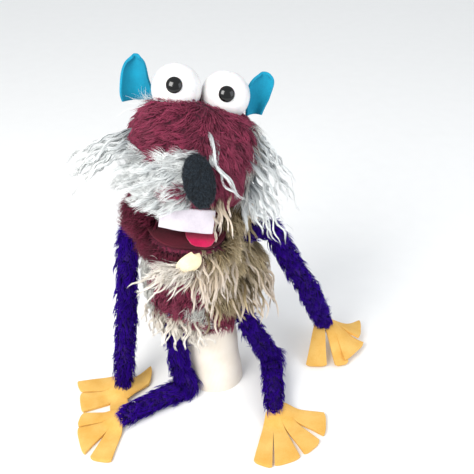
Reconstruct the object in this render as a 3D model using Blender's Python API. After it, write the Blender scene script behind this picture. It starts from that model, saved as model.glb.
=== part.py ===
"""Sock puppet: a hollow sock body, a fur-covered foam head with a moving jaw, and four jointed limbs.

Lengths are millimetres in this file and metres in the scene. The puppet faces -Y with +Z up, and left
means the -X side. The origin is the middle of the sock's open cuff, where it stands on a surface.
"""

import math

import bmesh
import bpy
from mathutils import Euler, Matrix, Vector

MM = 0.001
GAP = 0.4
ROUND = 24

# Torso: height, half-width and half-depth of each ring.
SOCK_WALL = 2.0
SOCK_RINGS = (
    (0, 28, 28),
    (45, 26, 26),
    (90, 27, 27),
    (104, 33, 29),
    (130, 36, 31),
    (158, 33, 30),
    (168, 31, 29),
)
PADDING_RINGS = ((104, 48, 37), (116, 51, 39), (132, 51, 39), (146, 46, 36), (158, 38, 33))
FUR_RINGS = ((90, 56, 44), (105, 58, 46), (130, 58, 46), (148, 54, 43), (160, 45, 38), (168, 38, 33))
FUR_INSIDE = (
    (90, 51, 40),
    (100, 51.5, 40),
    (131, 52, 40),
    (147, 47.5, 37.5),
    (158.6, 38.6, 34),
    (168, 33, 30.5),
)
HEM_RINGS = ((90, 56, 44), (104, 57.8, 45.8))
NECK_RINGS = ((169, 40, 34), (184, 42, 36), (199, 43, 37))
NECK_WALL = 6.0
TORSO_LEAN = -0.073
PANEL_GAP = 0.7
TAB_END = 2.5

# Head: the pivot's place and turn; local y of each ring, then its middle height, half-width, half-height.
HEAD_PIVOT = Vector((-23, 0, 205))
HEAD_TURN = Euler((math.radians(-6), math.radians(9), math.radians(5)), "XYZ")
HEAD_RINGS = (
    (36, 46, 20, 18),
    (30, 46, 34, 30),
    (12, 46, 44, 38),
    (-14, 46, 46, 37),
    (-38, 44, 42, 32),
    (-56, 42, 35, 23),
    (-66, 38, 28, 14),
    (-71, 36, 20, 9),
)
HEAD_FUR = 7.0
NECK_PLACE = (8, 2)
PALATE_BACK, PALATE_HEIGHT, PALATE_RISE = -12.0, 4.8, 0.25
EYE_RADIUS = 20.0
EYE_WALL = 1.0
PUPIL_RADIUS = 6.3
EYES = {
    "left": (Vector((-20, -25, 101.5)), Vector((-0.162, -0.916, 0.367))),
    "right": (Vector((20, -18, 98.8)), Vector((-0.074, -0.948, 0.31))),
}
EARS = {"left": (Vector((-49, -1, 83)), -0.16), "right": (Vector((49, -4, 83)), 0.1)}
NOSE_MIDDLE = Vector((1.4, -82, 48))
NOSE_SIZE = Vector((12, 6, 21))

# Jaw: its hinge and its rings, in the head's own coordinates.
JAW_HINGE = Vector((0, -8, 0.2))
ROLL_RADIUS, ROLL_HALF = 1.2, 24
JAW_RINGS = (
    (-12, -12.5, 26, 7),
    (-20, -15.2, 34, 8.5),
    (-40, -19.2, 38, 9.3),
    (-56, -21.8, 34, 9.3),
    (-68, -21.8, 26, 7.4),
    (-73, -20, 16, 4.5),
)
JAW_FUR = 5.0
FLOOR_BACK, FLOOR_HEIGHT, FLOOR_RISE = -12.0, -1.6, -0.16

# Limbs: joint centres from the body outwards.
LIMB_RADIUS = 9.5
TAPER = 0.62
HINGE_SPACE = 4.5
WIRE_RADIUS = 1.0
WIRE_END = 2.2
ARMS = {
    "left": (Vector((-76, 0, 168)), Vector((-83, -4, 87)), Vector((-89, -28, 10))),
    "right": (Vector((54, 2, 171)), Vector((92, 4, 98.5)), Vector((113, 44, 30))),
}
LEGS = {
    "left": (Vector((-37, -24, 86)), Vector((-30, -30, 10.2)), Vector((-83, -70, 10))),
    "right": (Vector((31, -20, 86)), Vector((57, 2, 16)), Vector((58, -62, 12))),
}

# Felt hands and feet: heading and spread in degrees, reach along the floor, and length of the slope.
FELT = 3.0
FANS = {
    "left_hand": (125, 160, 48, 18),
    "right_hand": (322, 145, 46, 44),
    "left_foot": (222, 104, 53, 18),
    "right_foot": (299, 110, 57, 26),
}
DIGITS = 4
SLIT_START = 20.0


def srgb(value):
    """One sRGB channel from 0 to 255 as linear light."""
    level = value / 255
    return level / 12.92 if level <= 0.04045 else ((level + 0.055) / 1.055) ** 2.4


def material(name, colour, roughness):
    """A Principled material from an sRGB hex colour."""
    made = bpy.data.materials.new(name)
    made.use_nodes = True
    shader = made.node_tree.nodes["Principled BSDF"]
    channels = [srgb(int(colour[i : i + 2], 16)) for i in (0, 2, 4)]
    shader.inputs["Base Color"].default_value = (*channels, 1)
    shader.inputs["Roughness"].default_value = roughness
    shader.inputs["Metallic"].default_value = 0
    return made


def pivot(name, place, parent=None, turn=None):
    """An empty on a joint's axis; place is in its parent's coordinates."""
    empty = bpy.data.objects.new(name, None)
    bpy.context.scene.collection.objects.link(empty)
    empty.location = place * MM
    if turn:
        empty.rotation_euler = turn
    empty.parent = parent
    return empty


def body_of(name, mesh, finish, parent, offset=Vector()):
    """Puts a finished bmesh, in millimetres, into an object under its pivot; offset is the pivot's place."""
    bmesh.ops.transform(mesh, matrix=Matrix.Scale(MM, 4) @ Matrix.Translation(-offset), verts=mesh.verts)
    bmesh.ops.recalc_face_normals(mesh, faces=mesh.faces)
    data = bpy.data.meshes.new(name)
    mesh.to_mesh(data)
    mesh.free()
    data.shade_smooth()
    data.set_sharp_from_angle(angle=math.radians(40))
    data.materials.append(finish)
    obj = bpy.data.objects.new(name, data)
    bpy.context.scene.collection.objects.link(obj)
    obj.parent = parent
    return obj


def cut(target, cutter):
    """Takes the cutter's solid out of the target and hides the cutter from renders."""
    cutter.hide_render = True
    cutter.display_type = "WIRE"
    boolean = target.modifiers.new(cutter.name, "BOOLEAN")
    boolean.operation = "DIFFERENCE"
    boolean.solver = "EXACT"
    boolean.object = cutter


def oval(middle, across, up, half_across, half_up, power=2.0, sides=ROUND):
    """A closed superellipse of points round the middle, in the plane of across and up."""
    points = []
    for i in range(sides):
        angle = 2 * math.pi * i / sides
        c, s = math.cos(angle), math.sin(angle)
        x = math.copysign(abs(c) ** (2 / power), c) * half_across
        y = math.copysign(abs(s) ** (2 / power), s) * half_up
        points.append(middle + across * x + up * y)
    return points


def bridge(rings, closed=False):
    """Quads between neighbouring rings; the ends are capped, or joined to each other when closed."""
    mesh = bmesh.new()
    rows = [[mesh.verts.new(point) for point in ring] for ring in rings]
    pairs = list(zip(rows, rows[1:]))
    if closed:
        pairs.append((rows[-1], rows[0]))
    for low, high in pairs:
        for i in range(len(low)):
            j = (i + 1) % len(low)
            mesh.faces.new((low[i], low[j], high[j], high[i]))
    if not closed:
        mesh.faces.new(rows[0])
        mesh.faces.new(rows[-1])
    return mesh


def torso_ring(height, half_width, half_depth, grow=0.0):
    """A level ring of the torso, which leans a little to the left as it rises."""
    middle = Vector((TORSO_LEAN * height, 0, height))
    return oval(middle, Vector((1, 0, 0)), Vector((0, 1, 0)), half_width + grow, half_depth + grow)


def torso_tube(name, outside, inside, finish):
    """A tube wall open at both ends, between an outer and an inner stack of rings."""
    return body_of(name, bridge(outside + inside[::-1], closed=True), finish, None)


def torso_panel(name, rings, bearings, thickness, finish, steps=8):
    """A curved panel on the torso's rings between two bearings, in degrees from +X.

    thickness gives how far the inner and the outer face stand out from the rings.
    """
    start, end = bearings
    loops = []
    for i in range(steps + 1):
        bearing = math.radians(start + (end - start) * i / steps)
        toward = Vector((math.cos(bearing), math.sin(bearing), 0))
        loop = []
        for grow in thickness:
            row = []
            for height, half_width, half_depth in rings:
                reach = Vector(((half_width + grow) * toward.x, (half_depth + grow) * toward.y, height))
                row.append(reach + Vector((TORSO_LEAN * height, 0, 0)))
            loop += row if grow == thickness[1] else row[::-1]
        loops.append(loop)
    return body_of(name, bridge(loops), finish, None)


def loft_rings(rings, grow=0.0, ends=0.0, power=2.6):
    """Upright rings along Y for the head or the jaw, grown outwards and lengthened at the ends."""
    made = []
    for i, (y, middle, half_width, half_height) in enumerate(rings):
        shift = ends if i == 0 else -ends if i == len(rings) - 1 else 0
        place = Vector((0, y + shift, middle))
        made.append(
            oval(place, Vector((1, 0, 0)), Vector((0, 0, 1)), half_width + grow, half_height + grow, power)
        )
    return made


def ball(middle, size, sides=18, rows=9, up=Vector((0, 0, 1)), hole=0.0, grow=0.0):
    """Rings of an ellipsoid about the up axis, from one pole towards the other; hole opens the first pole."""
    side = (Vector((1, 0, 0)) - up * up.x).normalized()
    other = up.cross(side)
    first = math.asin(hole / (size.z + grow)) if hole else math.radians(9)
    last = math.pi - math.radians(9)
    rings = []
    for i in range(rows):
        angle = first + (last - first) * i / (rows - 1)
        across = math.sin(angle)
        place = middle - up * (size.z + grow) * math.cos(angle)
        half = ((size.x + grow) * across, (size.y + grow) * across)
        rings.append(oval(place, side, other, *half, sides=sides))
    return rings


def sphere_cutter(name, middle, radius, finish, parent):
    """A sphere that makes room for an eyeball."""
    return body_of(name, bridge(ball(middle, Vector((radius,) * 3))), finish, parent)


def block(name, low, high, finish, parent, offset=Vector()):
    """A rounded box between two corners; offset is the pivot's place."""
    mesh = bmesh.new()
    bmesh.ops.create_cube(mesh, size=1)
    size = high - low
    place = Matrix.Translation((low + high) / 2) @ Matrix.Diagonal((*size, 1))
    bmesh.ops.transform(mesh, matrix=place, verts=mesh.verts)
    bmesh.ops.bevel(mesh, geom=mesh.edges, offset=min(size) / 4, segments=2, affect="EDGES")
    return body_of(name, mesh, finish, parent, offset)


def prism(outline, heights, thickness):
    """A plate on the outline; heights gives its upper face's height at each y."""
    top = [Vector((x, y, heights(y))) for x, y in outline]
    return bridge([[point - Vector((0, 0, thickness)) for point in top], top])


def palate(y):
    """Height of the upper plate's top face in the head's coordinates."""
    return PALATE_HEIGHT + PALATE_RISE * (PALATE_BACK - y)


def mouth_floor(y):
    """Height of the jaw lining's top face in the head's coordinates."""
    return FLOOR_HEIGHT + FLOOR_RISE * (FLOOR_BACK - y)


def mouth_outline(half_width, back, front, middle=0.0, steps=14):
    """A flat-backed tongue shape: straight at the back and a rounded front."""
    points = []
    for i in range(steps + 1):
        angle = math.pi * i / steps
        c, s = math.cos(angle), math.sin(angle)
        x = math.copysign(abs(c) ** 0.7, c) * half_width
        points.append((middle + x, back - (back - front) * abs(s) ** 0.7))
    return points


def make_torso(fur, shag, pale, knit, stuffing, purple):
    """The sock, its stuffing ring, the fur jacket with its panels, and the stubs that carry the arms."""
    outside = [torso_ring(*ring) for ring in SOCK_RINGS]
    inside = [torso_ring(*ring, grow=-SOCK_WALL) for ring in SOCK_RINGS]
    torso_tube("sock", outside, inside, knit)
    inside = [torso_ring(*ring, grow=GAP) for ring in SOCK_RINGS[3:6]]
    outside = [torso_ring(*ring) for ring in PADDING_RINGS]
    torso_tube("body_padding", outside, inside, stuffing)
    outside = [torso_ring(*ring) for ring in FUR_RINGS]
    inside = [torso_ring(*ring) for ring in FUR_INSIDE]
    torso_tube("body_fur", outside, inside, fur)
    torso_panel("side_shag", FUR_RINGS[1:4], (-80, -14), (PANEL_GAP, 7), shag)
    torso_panel("hem_tufts", HEM_RINGS, (-150, -92), (PANEL_GAP, 4), pale)
    torso_panel("neck_fur", NECK_RINGS, (-8, 188), (-NECK_WALL, 0), fur, steps=14)
    for side, (shoulder, _, _) in ARMS.items():
        inward = Vector((-math.copysign(13, shoulder.x), 0, -3))
        make_tab(f"{side}_shoulder_tab", shoulder + inward, shoulder, 6, purple)
    for side, (hip, _, _) in LEGS.items():
        make_tab(f"{side}_hip_tab", hip + Vector((0, 0, 17)), hip, 4, purple)


def make_tab(name, root, joint, radius, finish):
    """A short fur stub from the torso that tapers to just short of a limb's joint."""
    along = (joint - root).normalized()
    tip = joint - along * TAB_END
    across = along.orthogonal().normalized()
    up = along.cross(across)
    rings = [
        oval(root, across, up, radius, radius, sides=12),
        oval(root.lerp(tip, 0.5), across, up, radius, radius, sides=12),
        oval(tip, across, up, 1.5, 1.5, sides=12),
    ]
    body_of(name, bridge(rings), finish, None)


def make_head(head, fur, foam, felt, white, black, pale, teal, board, glossy):
    """The foam head, its fur cover, the mouth plates, teeth, nose, eyes and ears."""
    core = body_of("head_foam", bridge(loft_rings(HEAD_RINGS)), foam, head)
    cover = body_of("head_fur", bridge(loft_rings(HEAD_RINGS, HEAD_FUR, 5)), fur, head)
    room = body_of("foam_room", bridge(loft_rings(HEAD_RINGS, GAP, GAP)), foam, head)
    cut(cover, room)
    mouth_side = [(y, palate(y) + 4) for y in (-3, -90)] + [(-90, -60), (-3, -60)]
    rings = [[Vector((x, y, z)) for y, z in mouth_side] for x in (-80, 80)]
    cut(cover, body_of("mouth_room", bridge(rings), foam, head))
    neck_x, neck_y = NECK_PLACE
    level = (Vector((1, 0, 0)), Vector((0, 1, 0)))
    neck = [oval(Vector((neck_x, neck_y, z)), *level, 33, 31) for z in (-30, 25)]
    cut(cover, body_of("neck_room", bridge(neck), foam, head))
    wrist = [oval(Vector((neck_x, neck_y, z)), *level, 27, 24) for z in (-10, 48)]
    cut(core, body_of("wrist_pocket", bridge(wrist), foam, head))
    cut(core, block("finger_pocket", Vector((-24, -48, 30)), Vector((30, 10, 50)), foam, head))
    for side, (middle, gaze) in EYES.items():
        socket = sphere_cutter(f"{side}_socket", middle, EYE_RADIUS + 0.6, foam, head)
        cut(core, socket)
        cut(cover, socket)
        back = Vector((0, 0.35, -0.94)).normalized()
        shell = Vector((EYE_RADIUS,) * 3)
        outer = ball(middle, shell, sides=20, rows=10, up=-back, hole=3)
        inner = ball(middle, shell, sides=20, rows=10, up=-back, hole=3, grow=-EYE_WALL)
        mesh = bridge(outer + inner[::-1], closed=True)
        close_ball(mesh, len(outer), 20)
        body_of(f"{side}_eyeball", mesh, white, head)
        body_of(f"{side}_pupil", pupil_mesh(middle, gaze.normalized()), glossy, head)
    plate = mouth_outline(32, PALATE_BACK, -70)
    body_of("upper_mouth_plate", prism(plate, lambda y: palate(y) - 0.2, 1.6), board, head)
    body_of("palate_lining", prism(plate, lambda y: palate(y) - 2.2, 1.2), felt, head)
    roll = []
    for x in (-ROLL_HALF, ROLL_HALF):
        middle = JAW_HINGE + Vector((x, 0, 0))
        roll.append(oval(middle, Vector((0, 1, 0)), Vector((0, 0, 1)), ROLL_RADIUS, ROLL_RADIUS, sides=10))
    body_of("mouth_hinge_roll", bridge(roll), felt, head)
    make_teeth(head, pale)
    lean = Vector((0, 0.45, 0.89)).normalized()
    body_of("nose", bridge(ball(NOSE_MIDDLE, NOSE_SIZE, sides=16, up=lean)), black, head)
    around = bridge(ball(NOSE_MIDDLE, NOSE_SIZE, sides=16, up=lean, grow=GAP))
    cut(cover, body_of("nose_room", around, foam, head))
    for side, (base, splay) in EARS.items():
        make_ear(side, base, splay, teal, head)


def close_ball(mesh, rows, sides):
    """Caps the far poles of the outer and the inner sphere, which the closed loft had joined."""
    mesh.verts.ensure_lookup_table()
    outer = [mesh.verts[(rows - 1) * sides + i] for i in range(sides)]
    inner = [mesh.verts[rows * sides + i] for i in range(sides)]
    between = [face for face in mesh.faces if set(face.verts) <= set(outer + inner)]
    bmesh.ops.delete(mesh, geom=between, context="FACES_ONLY")
    mesh.faces.new(outer)
    mesh.faces.new(inner)


def pupil_mesh(middle, gaze):
    """A black disc on the eyeball: a concave back that follows the ball and a domed front."""
    side = gaze.orthogonal().normalized()
    other = gaze.cross(side)
    seat = EYE_RADIUS + GAP
    rings = []
    for radius in (1.2, 3.8, PUPIL_RADIUS):
        depth = math.sqrt(seat**2 - radius**2)
        rings.append(oval(middle + gaze * depth, side, other, radius, radius, sides=14))
    rim = math.sqrt(seat**2 - PUPIL_RADIUS**2) + 0.9
    for radius, depth in ((PUPIL_RADIUS, rim), (4.6, seat + 1.4), (1.5, seat + 2.0)):
        rings.append(oval(middle + gaze * depth, side, other, radius, radius, sides=14))
    return bridge(rings)


def make_teeth(head, finish):
    """One upright felt strip curved round the front of the upper plate."""
    loops = []
    for i in range(9):
        x = -24 + 42 * i / 8
        y = -74.5 + 0.006 * (x + 3) ** 2
        loops.append([Vector((x, y + dy, z)) for dy, z in ((0, 21.5), (0, 1.8), (-2, 1.8), (-2, 21.5))])
    body_of("upper_teeth", bridge(loops), finish, head)


def make_ear(side, base, splay, finish, parent):
    """A rounded felt leaf, cupped forwards and thickened evenly."""
    up = Vector((splay, -0.06, 0.98)).normalized()
    across = Vector((up.z, 0, -up.x))
    mesh = bmesh.new()
    rows = []
    for j in range(7):
        t = j / 6
        half = 11.5 * math.sqrt(max(0.0, 1 - (0.94 * t) ** 3)) + 1.5 * t
        row = []
        for i in range(7):
            s = -1 + i / 3
            hollow = Vector((0, 5 * (1 - s * s) * (1 - 0.4 * t), 0))
            row.append(mesh.verts.new(base + up * 35 * t + across * half * s + hollow))
        rows.append(row)
    for low, high in zip(rows, rows[1:]):
        for i in range(6):
            mesh.faces.new((low[i], low[i + 1], high[i + 1], high[i]))
    ear = body_of(f"{side}_ear", mesh, finish, parent)
    solidify = ear.modifiers.new("thickness", "SOLIDIFY")
    solidify.thickness = 2.6 * MM
    solidify.offset = 0


def make_locks(head, finish):
    """The long white locks sewn to the cheeks, as tapered flat bodies."""
    routes = {
        "left_cheek_lock": ((-62, -20, 60), (-80, -20, 48), (-103, -16, 28)),
        "right_cheek_lock": ((62, -18, 66), (74, -14, 42), (88, -10, 18), (102, -8, 2)),
    }
    sizes = ((5, 9), (6, 13), (5, 10), (2, 3))
    for name, route in routes.items():
        points = [Vector(point) for point in route]
        rings = []
        for i, point in enumerate(points):
            along = points[min(i + 1, len(points) - 1)] - points[max(i - 1, 0)]
            deep = Vector((0, 1, 0))
            across = along.normalized().cross(deep)
            thin, wide = sizes[i] if i < len(points) - 1 else sizes[-1]
            rings.append(oval(point, across, deep, thin, wide, sides=12))
        body_of(name, bridge(rings), finish, head)


def make_jaw(jaw, fur, foam, felt, satin, cream, board):
    """The jaw foam with its thumb pocket, the fur under it, the lower plate, lining, tongue and chin tuft."""
    offset = JAW_HINGE
    core = body_of("jaw_foam", bridge(loft_rings(JAW_RINGS)), foam, jaw, offset)
    pocket = block("thumb_pocket", Vector((-12, -46, -22.5)), Vector((20, 0, -12.5)), foam, jaw, offset)
    cut(core, pocket)
    cover = body_of("jaw_fur", bridge(loft_rings(JAW_RINGS, JAW_FUR, 4)), fur, jaw, offset)
    cut(cover, body_of("jaw_foam_room", bridge(loft_rings(JAW_RINGS, GAP, GAP)), foam, jaw, offset))
    above = [(y, mouth_floor(y) - 3.6) for y in (-3, -90)] + [(-90, 40), (-3, 40)]
    rings = [[Vector((x, y, z)) for y, z in above] for x in (-80, 80)]
    cut(cover, body_of("lining_room", bridge(rings), foam, jaw, offset))
    way = block("thumb_way", Vector((-13, -16, -40)), Vector((21, 6, -11)), foam, jaw, offset)
    cut(cover, way)
    plate = mouth_outline(34, FLOOR_BACK, -74)
    body_of("jaw_lining", prism(plate, mouth_floor, 1.2), felt, jaw, offset)
    body_of("lower_mouth_plate", prism(plate, lambda y: mouth_floor(y) - 1.6, 1.6), board, jaw, offset)
    tongue = mouth_outline(10.5, -20, -71, middle=11)
    body_of("tongue", prism(tongue, lambda y: mouth_floor(y) + 2, 1.6), satin, jaw, offset)
    rings = ball(Vector((4, -82, -26)), Vector((9, 3.5, 11)), sides=12, rows=7)
    body_of("chin_tuft", bridge(rings), cream, jaw, offset)


def limb_radius(distance, length):
    """Radius of a fur tube at a distance along it: full in the middle, tapered at the hinges."""
    return min(LIMB_RADIUS, TAPER * distance, TAPER * (length - distance))


def make_limb(name, start, end, fur, steel, parent):
    """A fur tube with a channel along its middle, and the wire that runs through it."""
    length = (end - start).length
    along = (end - start).normalized()
    side = along.orthogonal().normalized()
    other = along.cross(side)
    full = LIMB_RADIUS / TAPER
    near = (HINGE_SPACE, full * 0.65, full)
    stations = (*near, length / 2, *(length - distance for distance in near[::-1]))
    outside = []
    for distance in stations:
        radius = limb_radius(distance, length)
        outside.append(oval(start + along * distance, side, other, radius, radius, sides=14))
    hole = WIRE_RADIUS + GAP
    ends = (stations[0], stations[-1])
    inside = [oval(start + along * end, side, other, hole, hole, sides=14) for end in ends]
    body_of(name, bridge(outside + inside[::-1], closed=True), fur, parent, start)
    wire = []
    for distance in (WIRE_END, length - WIRE_END):
        wire.append(oval(start + along * distance, side, other, WIRE_RADIUS, WIRE_RADIUS, sides=8))
    body_of(f"{name}_wire", bridge(wire), steel, parent, start)


def make_fan(name, root, finish, parent):
    """A felt fan slit into digits: it slopes from the limb's end down to the surface and lies on it."""
    heading, spread, reach, slope = FANS[name]
    mesh = bmesh.new()
    radii = (2.5, 8, 14, SLIT_START, reach * 0.6, reach * 0.82, reach)
    share = math.radians(spread) / DIGITS
    first = math.radians(heading - spread / 2)
    for digit in range(DIGITS):
        rows = []
        for radius in radii:
            open_part = max(0.0, (radius - SLIT_START) / (reach - SLIT_START))
            row = []
            for i in range(4):
                u = -1 + 2 * i / 3
                angle = first + share * (digit + 0.5) + share / 2 * u * (1 - 0.17 * open_part)
                rounded = radius * (1 - 0.05 * open_part * u * u)
                t = min(1.0, radius / slope)
                ease = t * t * (3 - 2 * t)
                height = root.z + (FELT / 2 + 0.3 - root.z) * ease
                spot = Vector((rounded * math.cos(angle), rounded * math.sin(angle), height - root.z))
                row.append(mesh.verts.new(spot))
            rows.append(row)
        for low, high in zip(rows, rows[1:]):
            for i in range(3):
                mesh.faces.new((low[i], low[i + 1], high[i + 1], high[i]))
    bmesh.ops.remove_doubles(mesh, verts=mesh.verts, dist=0.01)
    fan = body_of(name, mesh, finish, parent)
    solidify = fan.modifiers.new("thickness", "SOLIDIFY")
    solidify.thickness = FELT * MM
    solidify.offset = 0


def make_limbs(purple, steel, yellow):
    """Both arms and both legs, each a chain of two tubes and a felt fan on nested pivots."""
    kinds = (
        (ARMS, ("upper_arm", "forearm", "hand"), ("shoulder", "elbow", "wrist")),
        (LEGS, ("thigh", "shin", "foot"), ("hip", "knee", "ankle")),
    )
    for limbs, parts, joints in kinds:
        for side, (first, second, third) in limbs.items():
            top = pivot(f"{side}_{joints[0]}_pivot", first)
            middle = pivot(f"{side}_{joints[1]}_pivot", second - first, top)
            last = pivot(f"{side}_{joints[2]}_pivot", third - second, middle)
            make_limb(f"{side}_{parts[0]}", first, second, purple, steel, top)
            make_limb(f"{side}_{parts[1]}", second, third, purple, steel, middle)
            make_fan(f"{side}_{parts[2]}", third, yellow, last)


def main():
    for old in list(bpy.data.objects):
        bpy.data.objects.remove(old)
    maroon = material("maroon_fur", "6E1E3C", 0.95)
    white_fur = material("white_long_fur", "DCE0DA", 0.95)
    shag = material("taupe_shag", "A08C70", 0.95)
    purple = material("purple_fur", "3C008A", 0.9)
    yellow = material("yellow_felt", "E6B95A", 0.95)
    teal = material("teal_felt", "00A0C8", 0.95)
    knit = material("cream_knit", "F0E8DC", 0.9)
    stuffing = material("polyester_stuffing", "F4F4F0", 0.95)
    foam = material("white_foam", "F0EEDC", 0.9)
    board = material("plate_board", "8A8078", 0.8)
    lining = material("dark_red_felt", "6E001E", 0.95)
    satin = material("crimson_satin", "BE0046", 0.35)
    white_felt = material("white_felt", "F0ECF0", 0.9)
    cream = material("cream_felt", "E8D8B0", 0.9)
    black = material("black_fur", "0F1923", 0.9)
    shell = material("white_celluloid", "FAFAFA", 0.25)
    bead = material("black_bead", "050505", 0.08)
    steel = material("galvanised_wire", "A8A8A8", 0.4)
    steel.node_tree.nodes["Principled BSDF"].inputs["Metallic"].default_value = 1

    head = pivot("head_pivot", HEAD_PIVOT, turn=HEAD_TURN)
    jaw = pivot("jaw_pivot", JAW_HINGE, head)
    make_torso(maroon, shag, white_fur, knit, stuffing, purple)
    make_head(head, maroon, foam, lining, shell, black, white_felt, teal, board, bead)
    make_locks(head, white_fur)
    make_jaw(jaw, maroon, foam, lining, satin, cream, board)
    make_limbs(purple, steel, yellow)


main()
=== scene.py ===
"""Sock puppet: pile fabric, long wavy locks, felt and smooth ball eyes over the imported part.

Shapes are worked out in millimetres in the part's own frame and become metres when a mesh is made.
Left means the -X side; the puppet faces -Y.
"""

import math

import bmesh
import bpy
import numpy as np
from mathutils import Euler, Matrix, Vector


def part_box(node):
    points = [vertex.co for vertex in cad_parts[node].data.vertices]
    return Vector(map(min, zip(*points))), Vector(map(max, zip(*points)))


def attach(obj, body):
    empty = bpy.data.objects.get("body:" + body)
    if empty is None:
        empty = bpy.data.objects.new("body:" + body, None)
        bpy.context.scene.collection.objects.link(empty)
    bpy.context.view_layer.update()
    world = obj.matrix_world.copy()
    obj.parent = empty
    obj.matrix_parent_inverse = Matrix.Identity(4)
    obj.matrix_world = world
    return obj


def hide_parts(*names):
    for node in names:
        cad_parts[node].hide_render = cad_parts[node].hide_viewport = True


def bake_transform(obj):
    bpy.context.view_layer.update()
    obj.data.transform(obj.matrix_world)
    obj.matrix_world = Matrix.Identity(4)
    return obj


MM = 0.001
TURN = 2 * np.pi
DOWN = np.array((0, 0, -1.0))

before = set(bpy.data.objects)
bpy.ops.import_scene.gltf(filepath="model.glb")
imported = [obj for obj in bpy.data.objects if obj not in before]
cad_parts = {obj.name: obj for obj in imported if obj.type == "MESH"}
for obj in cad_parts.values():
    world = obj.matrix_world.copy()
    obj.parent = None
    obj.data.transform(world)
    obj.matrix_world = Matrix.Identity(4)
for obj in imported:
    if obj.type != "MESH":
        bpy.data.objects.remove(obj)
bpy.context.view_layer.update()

# The head's pivot and its tilt: everything on the head and the jaw is drawn square, then placed by these.
HEAD_PIVOT = np.array((-23.0, 0.0, 205.0))
HEAD_TURN = np.array(Euler((math.radians(-6), math.radians(9), math.radians(5)), "XYZ").to_matrix())

# Head and jaw: distance back, then middle height, half-width and half-height of each upright section.
HEAD_SECTIONS = (
    (39, 46, 0.5, 0.5),
    (38, 46, 12, 11),
    (34, 46, 27, 24),
    (26, 46, 37, 33),
    (12, 46, 44, 38),
    (-14, 46, 46, 37),
    (-38, 44, 42, 32),
    (-56, 42, 35, 24),
    (-67, 39, 27, 15),
    (-73, 37, 17, 9),
    (-75, 36, 0.5, 0.5),
)
JAW_SECTIONS = (
    (-8, -12, 0.5, 0.5),
    (-9, -12, 16, 4),
    (-14, -13, 28, 7),
    (-22, -16, 35, 8.5),
    (-40, -19.4, 38, 9),
    (-56, -21.8, 34, 9),
    (-68, -22, 26, 7.4),
    (-74, -21, 15, 4.5),
    (-76, -20.5, 0.5, 0.5),
)
# Body: height, half-width and half-depth.
BODY_RINGS = (
    (88, 54, 42), (96, 56, 44), (112, 57.5, 45.5), (130, 57, 45), (148, 52, 41), (160, 43, 36), (172, 35, 31),
)
DRAWN_IN = 23
NECK_RINGS = ((164, 34, 30), (176, 38, 33), (190, 41, 35), (204, 42, 36), (216, 41, 35))
SOCK_RINGS = (
    (0, 28, 28), (12, 27.6, 27.6), (30, 26.6, 26.6), (45, 26, 26), (90, 27, 27), (104, 33, 29), (168, 31, 29),
)
SOCK_WALL = 2.0
LEAN = -0.073
EYE_RADIUS = 20.0
PUPIL_RADIUS = 6.4
PUPIL_GAZE = {"left": (-0.162, -0.916, 0.367), "right": (-0.074, -0.948, 0.31)}

# Limbs: joint centres from the torso outwards, and how far the fold of the middle joint stands out.
LIMBS = {
    "left_arm": ((-76, 0, 168), (-83, -4, 87), (-89, -28, 10)),
    "right_arm": ((54, 2, 171), (92, 4, 98.5), (113, 44, 30)),
    "left_leg": ((-37, -24, 86), (-30, -30, 10.2), (-83, -70, 10)),
    "right_leg": ((31, -20, 86), (57, 2, 16), (58, -62, 12)),
}
TUBE_RADIUS = 7.6
STRAND_SIDES = 3
SHAG_WAVES = 1.2


# ---------------------------------------------------------------- finishes


def tone(code):
    """An sRGB hex colour as linear light, with full cover."""
    levels = np.array([int(code[i : i + 2], 16) for i in (0, 2, 4)]) / 255
    linear = np.where(levels <= 0.04045, levels / 12.92, ((levels + 0.055) / 1.055) ** 2.4)
    return (*linear.tolist(), 1.0)


def add(tree, kind, inputs=None, **settings):
    """A shader node with its settings; an input takes a value or another node's socket."""
    made = tree.nodes.new("ShaderNode" + kind)
    for name, value in settings.items():
        setattr(made, name, value)
    for socket, value in (inputs or {}).items():
        if isinstance(value, bpy.types.NodeSocket):
            tree.links.new(value, made.inputs[socket])
        else:
            made.inputs[socket].default_value = value
    return made


def blank(name, **constants):
    """A Principled material with these constants on its own sockets: tree, shader, coordinates."""
    made = bpy.data.materials.new(name)
    made.use_nodes = True
    tree = made.node_tree
    shader = tree.nodes["Principled BSDF"]
    for socket, value in constants.items():
        shader.inputs[socket.replace("_", " ")].default_value = value
    place = add(tree, "TexCoord").outputs["Object"]
    return made, tree, shader, place


def mixed(tree, share, low, high, blend="MIX"):
    """Colour between low and high."""
    made = add(tree, "Mix", {0: share, 6: low, 7: high}, data_type="RGBA", blend_type=blend)
    return made.outputs[2]


def grain(tree, place, size_mm, detail, **more):
    """Noise with features about size_mm wide."""
    size = {"Vector": place, "Scale": 1 / (size_mm * MM), "Detail": detail, **more}
    return add(tree, "TexNoise", size).outputs[0]


def ramp(tree, value, low, high, start=0.0, end=1.0, smooth=False):
    """start where the value is low, end where it is high, and a straight or smooth change between."""
    values = {0: value, 1: low, 2: high, 3: start, 4: end}
    return add(tree, "MapRange", values, interpolation_type="SMOOTHSTEP" if smooth else "LINEAR").outputs[0]


def combined(tree, first, second, operation="ADD"):
    """The sum, or the product, of two values."""
    return add(tree, "Math", {0: first, 1: second}, operation=operation).outputs[0]


def coloured(tree, shader, share, dark, light):
    """Gives the shader a base colour between dark and light."""
    tree.links.new(mixed(tree, share, tone(dark), tone(light)), shader.inputs["Base Color"])


def relief(tree, shader, height, strength, depth_mm):
    """Gives the shader a bump from a height."""
    bump = add(tree, "Bump", {"Height": height, "Strength": strength, "Distance": depth_mm * MM}).outputs[0]
    tree.links.new(bump, shader.inputs["Normal"])


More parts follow.
